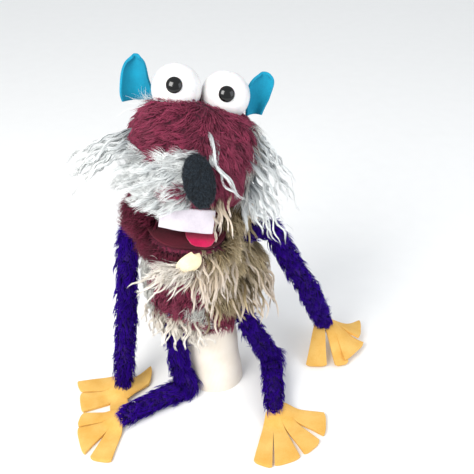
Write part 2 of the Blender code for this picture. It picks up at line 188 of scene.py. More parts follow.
def hair_fibre(name, slot, root_shade, middle, tip, contrast=0.35, roughness=0.62, sheen=0.25, gloss=0.5):
    """Crimped acrylic fibre, drawn and dyed, with painted shade: dark between the roots, soft along the
    length, pale at the tip.

    Each clump carries its own tint. The material comes back with the slot that its pieces belong to.
    """
    made, tree, shader, place = blank(name, Roughness=roughness, Sheen_Weight=sheen, Sheen_Roughness=0.4)
    shader.inputs["Sheen Tint"].default_value = tone(tip)
    shader.inputs["Specular IOR Level"].default_value = gloss
    along = add(tree, "Attribute", attribute_name="along").outputs["Fac"]
    tint = add(tree, "Attribute", attribute_name="tint").outputs["Fac"]
    # The root colour is painted shade between the hairs; the middle and tip colours are the fibre's own.
    low = ramp(tree, along, 0.0, 0.5, smooth=True)
    high = ramp(tree, along, 0.45, 1.0, smooth=True)
    shade = mixed(tree, high, mixed(tree, low, tone(root_shade), tone(middle)), tone(tip))
    gain = ramp(tree, tint, 0.0, 1.0, 1 - contrast, 1 + contrast)
    level = add(tree, "CombineColor", {0: gain, 1: gain, 2: gain}).outputs[0]
    tree.links.new(mixed(tree, 1.0, shade, level, "MULTIPLY"), shader.inputs["Base Color"])
    return made, slot


def backing(name, dark, light, pale=None):
    """The knitted ground of pile fabric, seen between the hairs: short matted fibre in two tones, set darker
    than the hair as painted shade between the roots.
    """
    made, tree, shader, place = blank(name, Roughness=0.95)
    stretched = add(tree, "Mapping", {"Vector": place, "Scale": (1.0, 1.0, 0.35)}).outputs[0]
    clumps = grain(tree, stretched, 1.6, 5.0)
    share = ramp(tree, clumps, 0.35, 0.65)
    shade = mixed(tree, share, tone(dark), tone(light))
    if pale:
        light_part = add(tree, "Attribute", attribute_name="pale").outputs["Fac"]
        shade = mixed(tree, light_part, shade, mixed(tree, share, tone(pale[0]), tone(pale[1])))
    tree.links.new(shade, shader.inputs["Base Color"])
    relief(tree, shader, clumps, 0.5, 1.2)
    return made


def pressed_felt(name, dark, light, sheen=0.3):
    """Pressed wool felt: short fibres lying every way in two shades, a soft nap and no shine.

    The fibres are drawn about three times their real width so that they show.
    """
    made, tree, shader, place = blank(name, Roughness=0.92, Sheen_Weight=sheen, Sheen_Roughness=0.5)
    shader.inputs["Sheen Tint"].default_value = tone(light)
    slow = grain(tree, place, 16, 3.0)
    fibre = grain(tree, place, 0.9, 6.0, Roughness=0.7, Distortion=1.2)
    coloured(tree, shader, ramp(tree, combined(tree, slow, fibre), 0.75, 1.25), dark, light)
    relief(tree, shader, fibre, 0.45, 0.5)
    return made


def fine_jersey(name, dark, light):
    """Knitted cotton jersey: columns of stitches up the tube, drawn a little wide so that they show."""
    stitch_mm = 1.3
    made, tree, shader, place = blank(name, Roughness=0.88, Sheen_Weight=0.2)
    chart = add(tree, "UVMap").outputs[0]
    size = {"Vector": chart, "Scale": 1 / (stitch_mm * MM) / TURN * 2}
    column = add(tree, "TexWave", {**size, "Distortion": 0.4}, bands_direction="X").outputs[0]
    row = add(tree, "TexWave", size, bands_direction="Y").outputs[0]
    stitch = combined(tree, column, row, "MULTIPLY")
    both = combined(tree, stitch, grain(tree, place, 22, 3.0))
    coloured(tree, shader, ramp(tree, both, 0.4, 1.1), dark, light)
    relief(tree, shader, stitch, 0.35, 0.4)
    return made


def woven_satin(name, dark, light):
    """Polyester satin: floats of fine thread that shine along one way, with soft pulls in the cloth."""
    thread_mm = 0.8
    sheen = {"Sheen_Weight": 0.4, "Anisotropic": 0.5, "Coat_Weight": 0.1}
    made, tree, shader, place = blank(name, Roughness=0.34, **sheen)
    threads = {"Vector": place, "Scale": 1 / (thread_mm * MM) / TURN, "Distortion": 1.0}
    floats = add(tree, "TexWave", threads).outputs[0]
    pulls = grain(tree, place, 7, 2.0)
    coloured(tree, shader, pulls, dark, light)
    relief(tree, shader, combined(tree, floats, pulls), 0.25, 0.4)
    return made


def moulded_ball(name, dark, light):
    """Blown celluloid ball: smooth, slightly milky, with the faintest scuffing."""
    made, tree, shader, place = blank(name, Roughness=0.3, IOR=1.5, Coat_Weight=0.15, Coat_Roughness=0.2)
    shader.inputs["Subsurface Weight"].default_value = 0.12
    shader.inputs["Subsurface Scale"].default_value = 3 * MM
    scuff = grain(tree, place, 6, 4.0)
    coloured(tree, shader, ramp(tree, scuff, 0.3, 0.7), dark, light)
    tree.links.new(ramp(tree, scuff, 0.3, 0.7, 0.26, 0.36), shader.inputs["Roughness"])
    return made


def polished_bead(name, dark, light):
    """Moulded black plastic dome with a polished skin and a little dust in the surface."""
    made, tree, shader, place = blank(name, Roughness=0.12, IOR=1.45, Coat_Weight=0.15, Coat_Roughness=0.05)
    coloured(tree, shader, ramp(tree, grain(tree, place, 0.7, 3.0), 0.62, 0.8), dark, light)
    return made


def drawn_wire(name, dark, light):
    """Galvanised steel wire, drawn through a die: bright with dull spangle."""
    made, tree, shader, place = blank(name, Metallic=1.0, Roughness=0.4)
    spangle = add(tree, "TexVoronoi", {"Vector": place, "Scale": 1 / (1.2 * MM)}).outputs["Distance"]
    coloured(tree, shader, spangle, dark, light)
    tree.links.new(ramp(tree, spangle, 0.0, 1.0, 0.3, 0.5), shader.inputs["Roughness"])
    return made


def grey_board(name, dark, light):
    """Pressed paper board: flat, with specks and a faint grain from the mill."""
    made, tree, shader, place = blank(name, Roughness=0.85)
    speck = grain(tree, place, 0.8, 5.0)
    coloured(tree, shader, speck, dark, light)
    relief(tree, shader, speck, 0.2, 0.2)
    return made


MAROON, WHITE, TAUPE, PURPLE, BLACK = "maroon_fur", "white_long_fur", "taupe_shag", "purple_fur", "black_fur"
# Ground colours: the backing's tones, darkened as painted shade between the hairs.
MAROON_GROUND = ("2E0818", "6A1A36")
TAUPE_GROUND = ("4A3E2C", "8A7858")
PALE_GROUND = ("55464C", "A4A2A4")
MATT = {"roughness": 0.95, "sheen": 0, "gloss": 0.15}
DAMP = {"sheen": 0.1, "gloss": 0.3}

maroon_hair = hair_fibre("maroon_acrylic_pile", MAROON, "3A0A20", "7A2040", "9C3A58", 0.38)
deep_hair = hair_fibre("deep_maroon_acrylic_pile", MAROON, "2C0618", "64142F", "862842", 0.4)
white_hair = hair_fibre("white_acrylic_long_pile", WHITE, "666C72", "DADEDE", "F6F8F7", 0.26)
warm_hair = hair_fibre("warm_white_acrylic_pile", WHITE, "A09484", "E8E0D4", "FBF6EE", 0.18)
grey_hair = hair_fibre("grey_white_acrylic_pile", WHITE, "565250", "B2B2AC", "E8E8E2", 0.28)
taupe_hair = hair_fibre("taupe_wavy_acrylic_pile", TAUPE, "1E1608", "7C6844", "CCBA96", 0.5)
cream_hair = hair_fibre("cream_wavy_acrylic_lock", TAUPE, "766548", "DAC8B0", "F4E8DC", 0.22)
purple_hair = hair_fibre("purple_chenille_pile", PURPLE, "080020", "260078", "3C00A4", 0.3, **MATT)
# A darker copy of the maroon pile: painted shade on the jaw and the left jowl.
jaw_shade_hair = hair_fibre("painted_shade_maroon_acrylic_pile", MAROON, "1C0410", "4E0E22", "782440", 0.42, **DAMP)
# The grey-blue tip colour of the black nose pile is a painted sheen.
black_hair = hair_fibre("black_brushed_pile", BLACK, "04070C", "101A24", "33424E", 0.45)
maroon_ground = backing("maroon_pile_ground", *MAROON_GROUND)
head_ground = backing("maroon_and_white_pile_ground", *MAROON_GROUND, PALE_GROUND)
body_ground = backing("maroon_and_taupe_pile_ground", *MAROON_GROUND, TAUPE_GROUND)
taupe_ground = backing("taupe_pile_ground", *TAUPE_GROUND)
purple_ground = backing("purple_pile_ground", "14003E", "34007C")
black_ground = backing("black_pile_ground", "04070C", "14202A")
yellow_felt = pressed_felt("yellow_wool_felt", "DCA548", "EABE6A")
teal_felt = pressed_felt("teal_wool_felt", "007C9C", "0496B8")
lining_felt = pressed_felt("dark_red_wool_felt", "340210", "5C0620")
# The teeth's white felt is greyed to lilac as painted shade inside the mouth.
white_felt = pressed_felt("white_wool_felt", "BDB6BF", "D8D1D9", sheen=0.1)
cream_felt = pressed_felt("cream_wool_felt", "DCC89C", "F6E8C4")
cream_knit = fine_jersey("cream_cotton_jersey", "E4D8C6", "F8F0E4")
tongue_satin = woven_satin("crimson_polyester_satin", "A00036", "D8105A")
eye_celluloid = moulded_ball("white_celluloid", "DCDADA", "E8E6E5")
bead_black = polished_bead("black_moulded_plastic", "010101", "0C0B0A")
core_wire = drawn_wire("galvanised_steel_wire", "8C9094", "C8CCD0")
plate_board = grey_board("painted_paper_board", "3C0A18", "5C1426")


# ---------------------------------------------------------------- surfaces


def curve(stations, values, at):
    """Cubic pieces through the stations, each with the values' own finite differences as its end slopes."""
    x = np.asarray(stations, float)
    y = np.asarray(values, float)
    y = y[:, None] if y.ndim == 1 else y
    at = np.asarray(at, float)
    slope = np.gradient(y, x, axis=0)
    i = np.clip(np.searchsorted(x, at) - 1, 0, len(x) - 2)
    span = (x[i + 1] - x[i])[..., None]
    t = (at - x[i])[..., None] / span
    ends = (2 * t**3 - 3 * t**2 + 1) * y[i] + (3 * t**2 - 2 * t**3) * y[i + 1]
    return ends + ((t**3 - 2 * t**2 + t) * slope[i] + (t**3 - t**2) * slope[i + 1]) * span


def unit(vectors):
    """Vectors of length one."""
    return vectors / np.maximum(np.linalg.norm(vectors, axis=-1, keepdims=True), 1e-9)


def on_head(points):
    """Points drawn square to the head, put where the tilted head holds them."""
    return np.asarray(points, float) @ HEAD_TURN.T + HEAD_PIVOT


def from_head(points):
    """Points of the part's frame in the head's own square coordinates."""
    return (np.asarray(points, float) - HEAD_PIVOT) @ HEAD_TURN


def upright_form(sections, grow):
    """A form for upright sections: cos and sin of the turn u, to a power, times the half sizes at v."""
    table = np.array(sections, float)
    index = np.arange(len(table))
    bend = 2 / 2.6

    def form(u, v):
        y, middle, wide, high = np.moveaxis(curve(index, table, np.clip(v, 0, 1) * index[-1]), -1, 0)
        c, s = np.cos(TURN * u), np.sin(TURN * u)
        more = grow * np.clip(wide / 12, 0, 1)
        x = np.sign(c) * np.abs(c) ** bend * (np.maximum(wide, 0.3) + more)
        z = middle + np.sign(s) * np.abs(s) ** bend * (np.maximum(high, 0.3) + more)
        return on_head(np.stack([x, y, z], -1))

    return form


def ring_form(rings, grow=0.0):
    """A form for level rings: an ellipse of the half sizes at v, its middle moved sideways as it rises."""
    table = np.array(rings, float)
    index = np.arange(len(table))

    def form(u, v):
        z, wide, deep = np.moveaxis(curve(index, table, np.clip(v, 0, 1) * index[-1]), -1, 0)
        x = LEAN * z + (wide + grow) * np.cos(TURN * u)
        return np.stack([x, (deep + grow) * np.sin(TURN * u), z], -1)

    return form


def ball_form(middle, size, up=(0, 0, 1)):
    """A form for an ellipsoid: the turn u about the up axis, and v from its lower pole to its upper."""
    up = unit(np.array(up, float))
    side = unit(np.array((1.0, 0, 0)) - up * up[0])
    other = np.cross(up, side)

    def form(u, v):
        rise = np.pi * (np.clip(v, 0, 1) - 0.5)
        c, s = np.cos(TURN * u) * np.cos(rise), np.sin(TURN * u) * np.cos(rise)
        local = c[..., None] * side * size[0] + s[..., None] * other * size[1]
        return np.asarray(middle, float) + local + np.sin(rise)[..., None] * up * size[2]

    return form


def path_form(points, radii):
    """A form for a soft tube: circles of the radii across a smooth line through the points."""
    points, radii = np.array(points, float), np.array(radii, float)
    index = np.arange(len(points))
    step = 0.02

    def form(u, v):
        at = np.clip(v, 0, 1) * index[-1]
        middle = curve(index, points, at)
        before, beyond = np.maximum(at - step, 0), np.minimum(at + step, index[-1])
        ahead = unit(curve(index, points, beyond) - curve(index, points, before))
        side = unit(np.cross(ahead, np.array((0.31, 0.95, 0.05))))
        other = np.cross(ahead, side)
        size = np.maximum(curve(index, radii, at), 0.2)
        return middle + size * (np.cos(TURN * u)[..., None] * side + np.sin(TURN * u)[..., None] * other)

    return form


def mark(piece, key, values):
    """Stores one number for each point of a piece, for its material to read."""
    piece.data.attributes.new(key, "FLOAT", "POINT").data.foreach_set("value", np.asarray(values, np.float32))


def mesh_piece(name, points, faces, finish, chart=None):
    """An object at the origin from points in millimetres and triangles or quads, all of one size."""
    points, faces = np.asarray(points, float), np.asarray(faces, np.int32)
    mesh = bpy.data.meshes.new(name)
    mesh.vertices.add(len(points))
    mesh.vertices.foreach_set("co", (points * MM).astype(np.float32).ravel())
    mesh.loops.add(faces.size)
    mesh.loops.foreach_set("vertex_index", faces.ravel())
    mesh.polygons.add(len(faces))
    mesh.polygons.foreach_set("loop_start", np.arange(len(faces), dtype=np.int32) * faces.shape[1])
    mesh.update(calc_edges=True)
    if chart is not None:
        layer = mesh.uv_layers.new(name="chart")
        layer.uv.foreach_set("vector", np.asarray(chart, np.float32)[faces.ravel()].ravel())
    mesh.shade_smooth()
    mesh.materials.append(finish)
    made = bpy.data.objects.new(name, mesh)
    bpy.context.scene.collection.objects.link(made)
    return made


def grid_faces(rows, columns, wrap):
    """Quads between neighbouring rows of a grid; wrap joins the last column to the first."""
    r, c = np.meshgrid(np.arange(rows - 1), np.arange(columns if wrap else columns - 1), indexing="ij")
    after = (c + 1) % columns
    near, far = r * columns, (r + 1) * columns
    return np.stack([near + c, near + after, far + after, far + c], -1).reshape(-1, 4)


def closed_skin(name, form, around, along, finish, low=0.0, high=1.0):
    """A closed skin on a form: rings from low to high, each end closed by triangles on a middle point."""
    v, u = np.meshgrid(np.linspace(low, high, along), np.arange(around) / around, indexing="ij")
    points = form(u, v).reshape(-1, 3)
    quads = grid_faces(along, around, True)
    middles = np.array([points[:around].mean(0), points[-around:].mean(0)])
    sides = np.stack([quads[:, [0, 1, 2]], quads[:, [0, 2, 3]]], 1).reshape(-1, 3)
    ring = np.arange(around)
    after = (ring + 1) % around
    start, last = len(points), (along - 1) * around
    low_cap = np.stack([np.full(around, start), after, ring], -1)
    high_cap = np.stack([np.full(around, start + 1), last + ring, last + after], -1)
    faces = np.concatenate([sides, low_cap, high_cap])
    made = mesh_piece(name, np.concatenate([points, middles]), faces, finish)
    mend(made)
    return made


def mend(piece, weld=False):
    """Points an object's faces outwards, after joining the points that touch where weld is set."""
    shape = bmesh.new()
    shape.from_mesh(piece.data)
    if weld:
        bmesh.ops.remove_doubles(shape, verts=shape.verts, dist=0.02 * MM)
        bmesh.ops.dissolve_degenerate(shape, edges=shape.edges, dist=0.01 * MM)
    bmesh.ops.recalc_face_normals(shape, faces=shape.faces)
    shape.to_mesh(piece.data)
    shape.free()


def sheet_piece(name, grids, finish, thickness):
    """Cloth from grids of points that share edges: welded, thickened to both sides and rounded."""
    points, faces, start = [], [], 0
    for grid in grids:
        rows, columns = grid.shape[:2]
        points.append(grid.reshape(-1, 3))
        faces.append(grid_faces(rows, columns, False) + start)
        start += rows * columns
    made = mesh_piece(name, np.concatenate(points), np.concatenate(faces), finish)
    mend(made, weld=True)
    solid = made.modifiers.new("thickness", "SOLIDIFY")
    solid.thickness = thickness * MM
    solid.offset = 0
    soft = made.modifiers.new("rounding", "BEVEL")
    soft.width = thickness * 0.28 * MM
    soft.segments = 2
    soft.angle_limit = math.radians(50)
    return made


def wall_piece(name, outer, inner, around, along, finish, chart=False):
    """A wall between two forms: rings up the outer one and down the inner one, joined round both ways."""
    v, u = np.meshgrid(np.linspace(0, 1, along), np.arange(around) / around, indexing="ij")
    points = np.concatenate([outer(u, v), inner(u, v)[::-1]]).reshape(-1, 3)
    quads = grid_faces(2 * along, around, True)
    ring = np.arange(around)
    after = (ring + 1) % around
    last = (2 * along - 1) * around
    quads = np.concatenate([quads, np.stack([last + ring, last + after, after, ring], -1)])
    turn = np.abs(np.concatenate([u, u[::-1]]).reshape(-1) - 0.5) * TURN * 27 * MM
    unrolled = np.stack([turn, points[:, 2] * MM], -1) if chart else None
    made = mesh_piece(name, points, quads, finish, unrolled)
    mend(made)
    return made


def spots(piece):
    """A piece's points in millimetres."""
    flat = np.empty(len(piece.data.vertices) * 3, np.float32)
    piece.data.vertices.foreach_get("co", flat)
    return flat.reshape(-1, 3).astype(float) / MM


def soft_step(value, low, high):
    """0 below low, 1 above high, and smooth between."""
    t = np.clip((value - low) / (high - low), 0, 1)
    return t * t * (3 - 2 * t)


def ragged(points, reach, seed):
    """A slow wobble in millimetres over the points, from sines of their place, for a torn-looking edge."""
    a = np.random.default_rng(seed).uniform(0, TURN, 6)
    x, y, z = points.T
    wobble = np.sin(x * 0.21 + a[0]) + np.sin(z * 0.27 + a[1]) + np.sin((x + z) * 0.13 + a[2])
    return reach * 0.45 * (wobble + 0.5 * np.sin((x - z + y) * 0.45 + a[3]))


def dress(piece, rides, stands_for=()):
    """Hangs a piece on the body that it rides on, or bakes its place into its mesh when it rides a join, and
    hides the imported parts that it stands for.
    """
    if isinstance(rides, str):
        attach(piece, rides)
    else:
        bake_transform(piece)
    if stands_for:
        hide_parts(*stands_for)
    return piece


def padded(piece, rides, stands_for):
    """Dresses a piece of padding, the same way as dress."""
    dress(piece, rides, stands_for)
    return piece


# ---------------------------------------------------------------- hair


def edges(on=None, **limits):
    """A rule of density: for each named axis, 0 at its first limit and 1 at its second, multiplied."""

    def rule(points):
        share = 1.0
        for axis, (low, high) in limits.items():
            share = share * soft_step((on(points) if on else points)[:, "xyz".index(axis)], low, high)
        return share

    return rule


def without(rule):
    """The opposite of a rule of density."""
    return lambda points: 1 - rule(points)


def strip(axis, middle, half, edge):
    """A rule of density in the head's coordinates: a strip about a middle, with soft edges."""
    return lambda points: soft_step(half - np.abs(from_head(points)[:, axis] - middle), 0, edge)


def scatter(form, count, rng, *rules):
    """Roots spread evenly by area over a form, with the outward direction at each.

    Many candidates are drawn in u and v, and count of them are kept with a chance that follows the
    area that a small step in u and v covers, times what the rules say of their places.
    """
    tries = count * 6
    u, v = rng.random(tries), rng.random(tries)
    step = 1e-3
    across = form(u + step, v) - form(u - step, v)
    along = form(u, np.minimum(v + step, 1)) - form(u, np.maximum(v - step, 0))
    normal = np.cross(across, along)
    weight = np.linalg.norm(normal, axis=1)
    points = form(u, v)
    middle = form(np.linspace(0, 1, 64, endpoint=False), np.full(64, 0.5)).mean(0)
    normal = unit(normal) * (-1 if ((points - middle) * normal).sum() < 0 else 1)
    for rule in rules:
        weight = weight * rule(points)
    count = min(count, int((weight > 0).sum()))
    pick = rng.choice(tries, count, replace=False, p=weight / weight.sum())
    return points[pick], normal[pick]


def lies(lie, jitter=0.0, turn=None):
    """A rule for combing roots: one direction, a random share added to it, then turned as the head is."""

    def rule(roots, rng):
        comb = np.broadcast_to(np.array(lie, float), roots.shape)
        if jitter:
            comb = comb + jitter * rng.normal(size=roots.shape)
        return comb if turn is None else comb @ turn.T

    return rule


def head_lies(lie, jitter=0.0):
    """A rule for combing roots in the head's own square coordinates."""
    return lies(lie, jitter, HEAD_TURN)


def swayed(side, other, angle, phase):
    """A sideways sway that starts from nothing: sine to the side, six tenths of cosine to the other."""
    return side * (np.sin(angle) - np.sin(phase)) + other * 0.6 * (np.cos(angle) - np.cos(phase))


def hairs(name, roots, outward, comb, finish, rng, length, width, clump=6.0, gather=0.5, stray=0.25, lift=0.6,
          fall=0.0, wave=0.0, waves=1.5, steps=3):
    """Closed tapered hairs, one piece of mesh each, on roots with an outward direction.

    A hair leaves along outward times lift, turns to the comb direction as t plus t squared, and falls
    with t squared. Roots in one cube of side clump form a lock: they share a turn of the comb, a
    length and a tint, and their ends gather to the lock's middle. A sine of t sways the lock.
    """
    count = len(roots)
    cells = np.floor((roots + rng.normal(0, clump * 0.12, (count, 3))) / clump).astype(np.int64)
    _, lock = np.unique(cells, axis=0, return_inverse=True)
    lock = lock.reshape(-1)
    locks = lock.max() + 1
    size = np.bincount(lock, minlength=locks)
    middle = np.stack([np.bincount(lock, roots[:, i], locks) / size for i in range(3)], -1)[lock]
    comb = unit(comb - (comb * outward).sum(1, keepdims=True) * outward)
    beside = np.cross(outward, comb)
    turn = (rng.normal(0, stray, locks)[lock] + rng.normal(0, stray * 0.4, count))[:, None]
    comb, beside = comb * np.cos(turn) + beside * np.sin(turn), beside * np.cos(turn) - comb * np.sin(turn)
    fullness = np.clip(rng.normal(1, 0.2, locks), 0.5, 1.5)[lock]
    reach = length * (fullness * rng.uniform(0.8, 1.12, count))[:, None]
    raised = lift * np.clip(rng.normal(1, 0.3, locks), 0.3, 1.9)[lock][:, None]
    phase = (rng.random(locks)[lock] + rng.normal(0, 0.05, count))[:, None] * TURN
    swings = waves * rng.uniform(0.75, 1.3, locks)[lock][:, None]
    t = np.linspace(0, 1, steps + 1)[:, None, None]
    line = roots + reach * (outward * raised * t * (1 - 0.55 * t) + comb * t * (0.35 + 0.65 * t))
    line = line + reach * DOWN * fall * t**2
    line = line + (middle - roots) * gather * t**1.5
    line = line + wave * np.minimum(1, 2.5 * t) * swayed(beside, outward, TURN * swings * t + phase, phase)
    tint = np.clip(rng.normal(0.5, 0.22, locks)[lock] + rng.normal(0, 0.12, count), 0, 1)
    return strand_piece(name, line, width, tint, finish, rng, 0.75)


def ropes(name, guides, finish, rng, girth, width, strands=14, wave=2.0, waves=2.5, twist=1.0, fray=0.25,
          steps=10):
    """Locks that each twist a bundle of strands about a guide line, given as points by locks by 3.

    A strand keeps to radius girth times 1 minus 0.75 t, opens a little again at the end by fray, and
    turns twist times about the guide; the guide itself sways by wave, waves times along it.
    """
    guides = np.asarray(guides, float)
    keys, locks = guides.shape[:2]
    owner = np.repeat(np.arange(locks), strands)
    count = len(owner)
    spans = 64
    t = np.linspace(0, 1, steps + 1)[:, None] * rng.uniform(0.82, 1.0, count)
    fine = curve(np.arange(keys), guides.reshape(keys, -1), np.linspace(0, keys - 1, spans + 1))
    fine = fine.reshape(spans + 1, locks, 3)
    ahead = unit(np.gradient(fine, axis=0))
    side = unit(np.cross(ahead, np.array((0.15, -0.85, 0.5))))
    other = np.cross(ahead, side)
    phase, swings = rng.random(locks) * TURN, waves * rng.uniform(0.75, 1.3, locks)
    turn = np.linspace(0, 1, spans + 1)[:, None] * TURN * swings + phase
    onset = np.minimum(1, np.linspace(0, 3, spans + 1))[:, None, None]
    sway = wave * onset * rng.uniform(0.6, 1.3, locks)[:, None]
    fine = fine + sway * swayed(side, other, turn[..., None], phase[:, None])
    place = t * spans
    low = np.minimum(place.astype(int), spans - 1)
    share = (place - low)[..., None]

    def on_lock(values):
        return values[low, owner] * (1 - share) + values[low + 1, owner] * share

    spin = rng.random(count) * TURN + TURN * twist * t * rng.choice((-1, 1), locks)[owner]
    full = girth * rng.uniform(0.7, 1.3, locks)[owner] * np.sqrt(rng.random(count))
    radius = (full * (1 - 0.75 * t + fray * t**4))[..., None]
    spin = spin[..., None]
    line = on_lock(fine) + radius * (np.cos(spin) * on_lock(side) + np.sin(spin) * on_lock(other))
    tint = np.clip(rng.normal(0.5, 0.2, locks)[owner] + rng.normal(0, 0.16, count), 0, 1)
    return strand_piece(name, line, width, tint, finish, rng, 0.6)


def fall_lines(roots, outward, comb, length, lift, fall):
    """Guide lines for ropes: each leaves along outward, turns to the comb direction and falls."""
    t = np.linspace(0, 1, 5)[:, None, None]
    return roots + length * (outward * lift * t * (1 - 0.6 * t) + unit(comb) * t + DOWN * fall * t**2)


def strand_piece(name, line, width, tint, finish, rng, taper):
    """One mesh of closed tapered strands from their middle lines, given as points by strands by 3.

    A strand that would pass through the table lies on it instead.
    """
    steps, count, sides = line.shape[0] - 1, line.shape[1], STRAND_SIDES
    line[..., 2] = np.maximum(line[..., 2], 0.5 * width)
    ahead = unit(np.gradient(line, axis=0))
    side = unit(np.cross(ahead, unit(rng.normal(size=(count, 3)))))
    other = np.cross(ahead, side)
    thick = 0.5 * width * rng.uniform(0.75, 1.25, count)[:, None]
    angle = TURN * np.arange(sides) / sides
    rings = []
    for i in range(steps):
        radius = thick * (1 - taper * i / steps)
        for a in angle:
            rings.append(line[i] + radius * (np.cos(a) * side[i] + np.sin(a) * other[i]))
    rings.append(line[-1])
    points = np.stack(rings, 1)
    each = points.shape[1]
    faces = [[0, k + 1, k] for k in range(1, sides - 1)]
    for i in range(steps):
        for k in range(sides):
            a, b = i * sides + k, i * sides + (k + 1) % sides
            faces += [[a, b, each - 1]] if i == steps - 1 else [[a, b, b + sides], [a, b + sides, a + sides]]
    faces = (np.array(faces)[None] + np.arange(count)[:, None, None] * each).reshape(-1, 3)
    made = mesh_piece(name, points.reshape(-1, 3), faces, finish)
    mark(made, "along", np.tile(np.append(np.repeat(np.arange(steps) / steps, sides), 1.0), count))
    mark(made, "tint", np.repeat(tint, each))
    return made


def pile(name, rides, rng, place, lie, hair, length, width, stands_for=(), **shape):
    """A dressed piece of hairs: place is a form, a count and any rules of how densely it grows."""
    form, count, *rules = place
    roots, out = scatter(form, count, rng, *rules)
    comb = lie(roots, rng)
    length = length(roots) if callable(length) else length
    finish, slot = hair
    made = hairs(name, roots, out, comb, finish, rng, length, width, **shape)
    return dress(made, rides, stands_for)


def sown_lines(rng, place, lie, reach, lift, fall=0.1):
    """Guide lines on scattered roots, with lengths drawn between the two values of reach."""
    form, count, *rules = place
    roots, out = scatter(form, count, rng, *rules)
    comb = lie(roots, rng)
    return fall_lines(roots, out, comb, rng.uniform(*reach, (len(roots), 1)), lift, fall)


def locks(name, rides, rng, guides, hair, girth, width, stands_for=(), **shape):
    """A dressed piece of twisted locks on guide lines."""
    finish, slot = hair
    return dress(ropes(name, guides, finish, rng, girth, width, **shape), rides, stands_for)


# ---------------------------------------------------------------- body


def tucked(form):
    """The form with its lower right drawn in, where the fur fabric is gathered under the shag."""

    def drawn(u, v):
        points = form(u, v)
        pull = soft_step(points[..., 0], 5, 50) * soft_step(-points[..., 2], -134, -98)
        return points - DRAWN_IN * pull[..., None] * np.array((1.0, 0, 0))

    return drawn


body_form = tucked(ring_form(BODY_RINGS, -4))
body_core = wall_piece("body_ground", body_form, tucked(ring_form(BODY_RINGS, -11)), 96, 36, body_ground)
at = spots(body_core)
shag_ground = soft_step(at[:, 0] + ragged(at, 5, 3), -6, 4) * soft_step(at[:, 1], 34, 18)
mark(body_core, "pale", shag_ground * soft_step(at[:, 2], 96, 104))
padded(body_core, "torso", ("body_padding", "body_fur"))

NECK_JOIN = ("torso", "head", (-22, 0, 172), (-22, 0, 200))
neck_form = ring_form(NECK_RINGS)
neck = wall_piece("neck_ground", neck_form, ring_form(NECK_RINGS, -5), 72, 18, maroon_ground)
padded(neck, NECK_JOIN, ("neck_fur",))


rng = np.random.default_rng(11)
pile("neck_pile", NECK_JOIN, rng, (neck_form, 2700), lies(DOWN), maroon_hair, 10, 0.8, lift=0.5)
neck_right = edges(x=(4, 12), y=(26, 8))
guides = sown_lines(rng, (neck_form, 54, neck_right), lies((0.25, -0.1, -1.0), 0.2), (18, 32), 0.35)
shag = {"wave": 1.8, "waves": SHAG_WAVES}
locks("neck_taupe_locks", NECK_JOIN, rng, guides[:, :30], taupe_hair, 2.0, 0.8, **shag)
locks("neck_cream_locks", NECK_JOIN, rng, guides[:, 30:], cream_hair, 1.8, 0.75, **shag)

sock_inside = ring_form(SOCK_RINGS, -SOCK_WALL)
sock = wall_piece("sock_tube", ring_form(SOCK_RINGS), sock_inside, 120, 90, cream_knit, chart=True)
at = spots(sock)
around = np.arctan2(at[:, 1], at[:, 0])
folds = 0.5 * np.sin(at[:, 2] * 0.16 + 1.4 * np.sin(around * 2)) * soft_step(at[:, 2], 4, 30)
radial = unit(np.stack([at[:, 0] - LEAN * at[:, 2], at[:, 1], np.zeros(len(at))], -1))
at = at + radial * folds[:, None]
sock.data.vertices.foreach_set("co", (at * MM).astype(np.float32).ravel())
dress(sock, "torso", ("sock",))


def taupe_share(points):
    """Where the chest carries the long taupe shag: its right half above the hem."""
    x, y, z = points.T
    wobble = ragged(points, 6, 5)
    side = soft_step(x + wobble, -8, 2) * soft_step(y, 36, 14)
    hem = soft_step(z + wobble * 0.6, 117, 124)
    return side * hem


def pale_strip(points):
    """The pale seam of fur along the left side and the pale patch left of the middle."""
    x, y, z = points.T
    wobble = ragged(points, 5, 8)
    strip = soft_step(-x + wobble, 50, 55) * soft_step(y, 14, -6) * soft_step(z, 100, 108)
    patch = soft_step(7 - np.abs(z - 112 + wobble), 0, 3) * soft_step(11 - np.abs(x + 13), 0, 4)
    return np.maximum(strip, patch * soft_step(-y, 0, 10))


def spread(lie, fan, reach, jitter=0.0):
    """A rule for combing that fans out sideways with a root's distance from the middle."""

    def rule(roots, rng):
        turned = np.zeros_like(roots)
        turned[:, 0] = fan * np.tanh(roots[:, 0] / reach)
        comb = np.array(lie) + turned
        return comb + jitter * rng.normal(size=roots.shape) if jitter else comb

    return rule


rng = np.random.default_rng(21)
lie = spread((-0.25, 0, -1.0), 0.35, 30)
plain_body = (body_form, 5800, without(taupe_share), without(pale_strip))
pile("body_maroon_pile", "torso", rng, plain_body, lie, maroon_hair, 10, 0.85, stray=0.5)
lie = lies((-0.3, -0.1, -1.0))
pile(
    "body_pale_pile", "torso", rng, (body_form, 2600, pale_strip), lie, grey_hair, 12, 0.7,
    stray=0.45, lift=0.5, wave=0.8, steps=4,
)
SHAG_PILE = {"clump": 5.5, "gather": 0.6, "stray": 0.4, "steps": 6}
lie = spread((0.12, 0, -1.0), 0.25, 40)
pile(
    "chest_taupe_pile", "torso", rng, (body_form, 4400, taupe_share), lie, taupe_hair, 19, 0.85,
    ("side_shag",), lift=0.36, wave=1.3, **SHAG_PILE,
)
high_front = edges(z=(124, 146), y=(14, -4))
roots, out = scatter(
    body_form, 200, rng, taupe_share, high_front, lambda points: 0.5 + 1.5 * soft_step(points[:, 0], 8, 28)
)
comb = spread((0.0, -0.05, -1.0), 0.25, 40, 0.16)(roots, rng)
to_right = soft_step(roots[:, :1], 5, 25)
guides = fall_lines(roots, out, comb, rng.uniform(20, 40, (len(roots), 1)), 0.3 + 0.3 * to_right, 0.15)
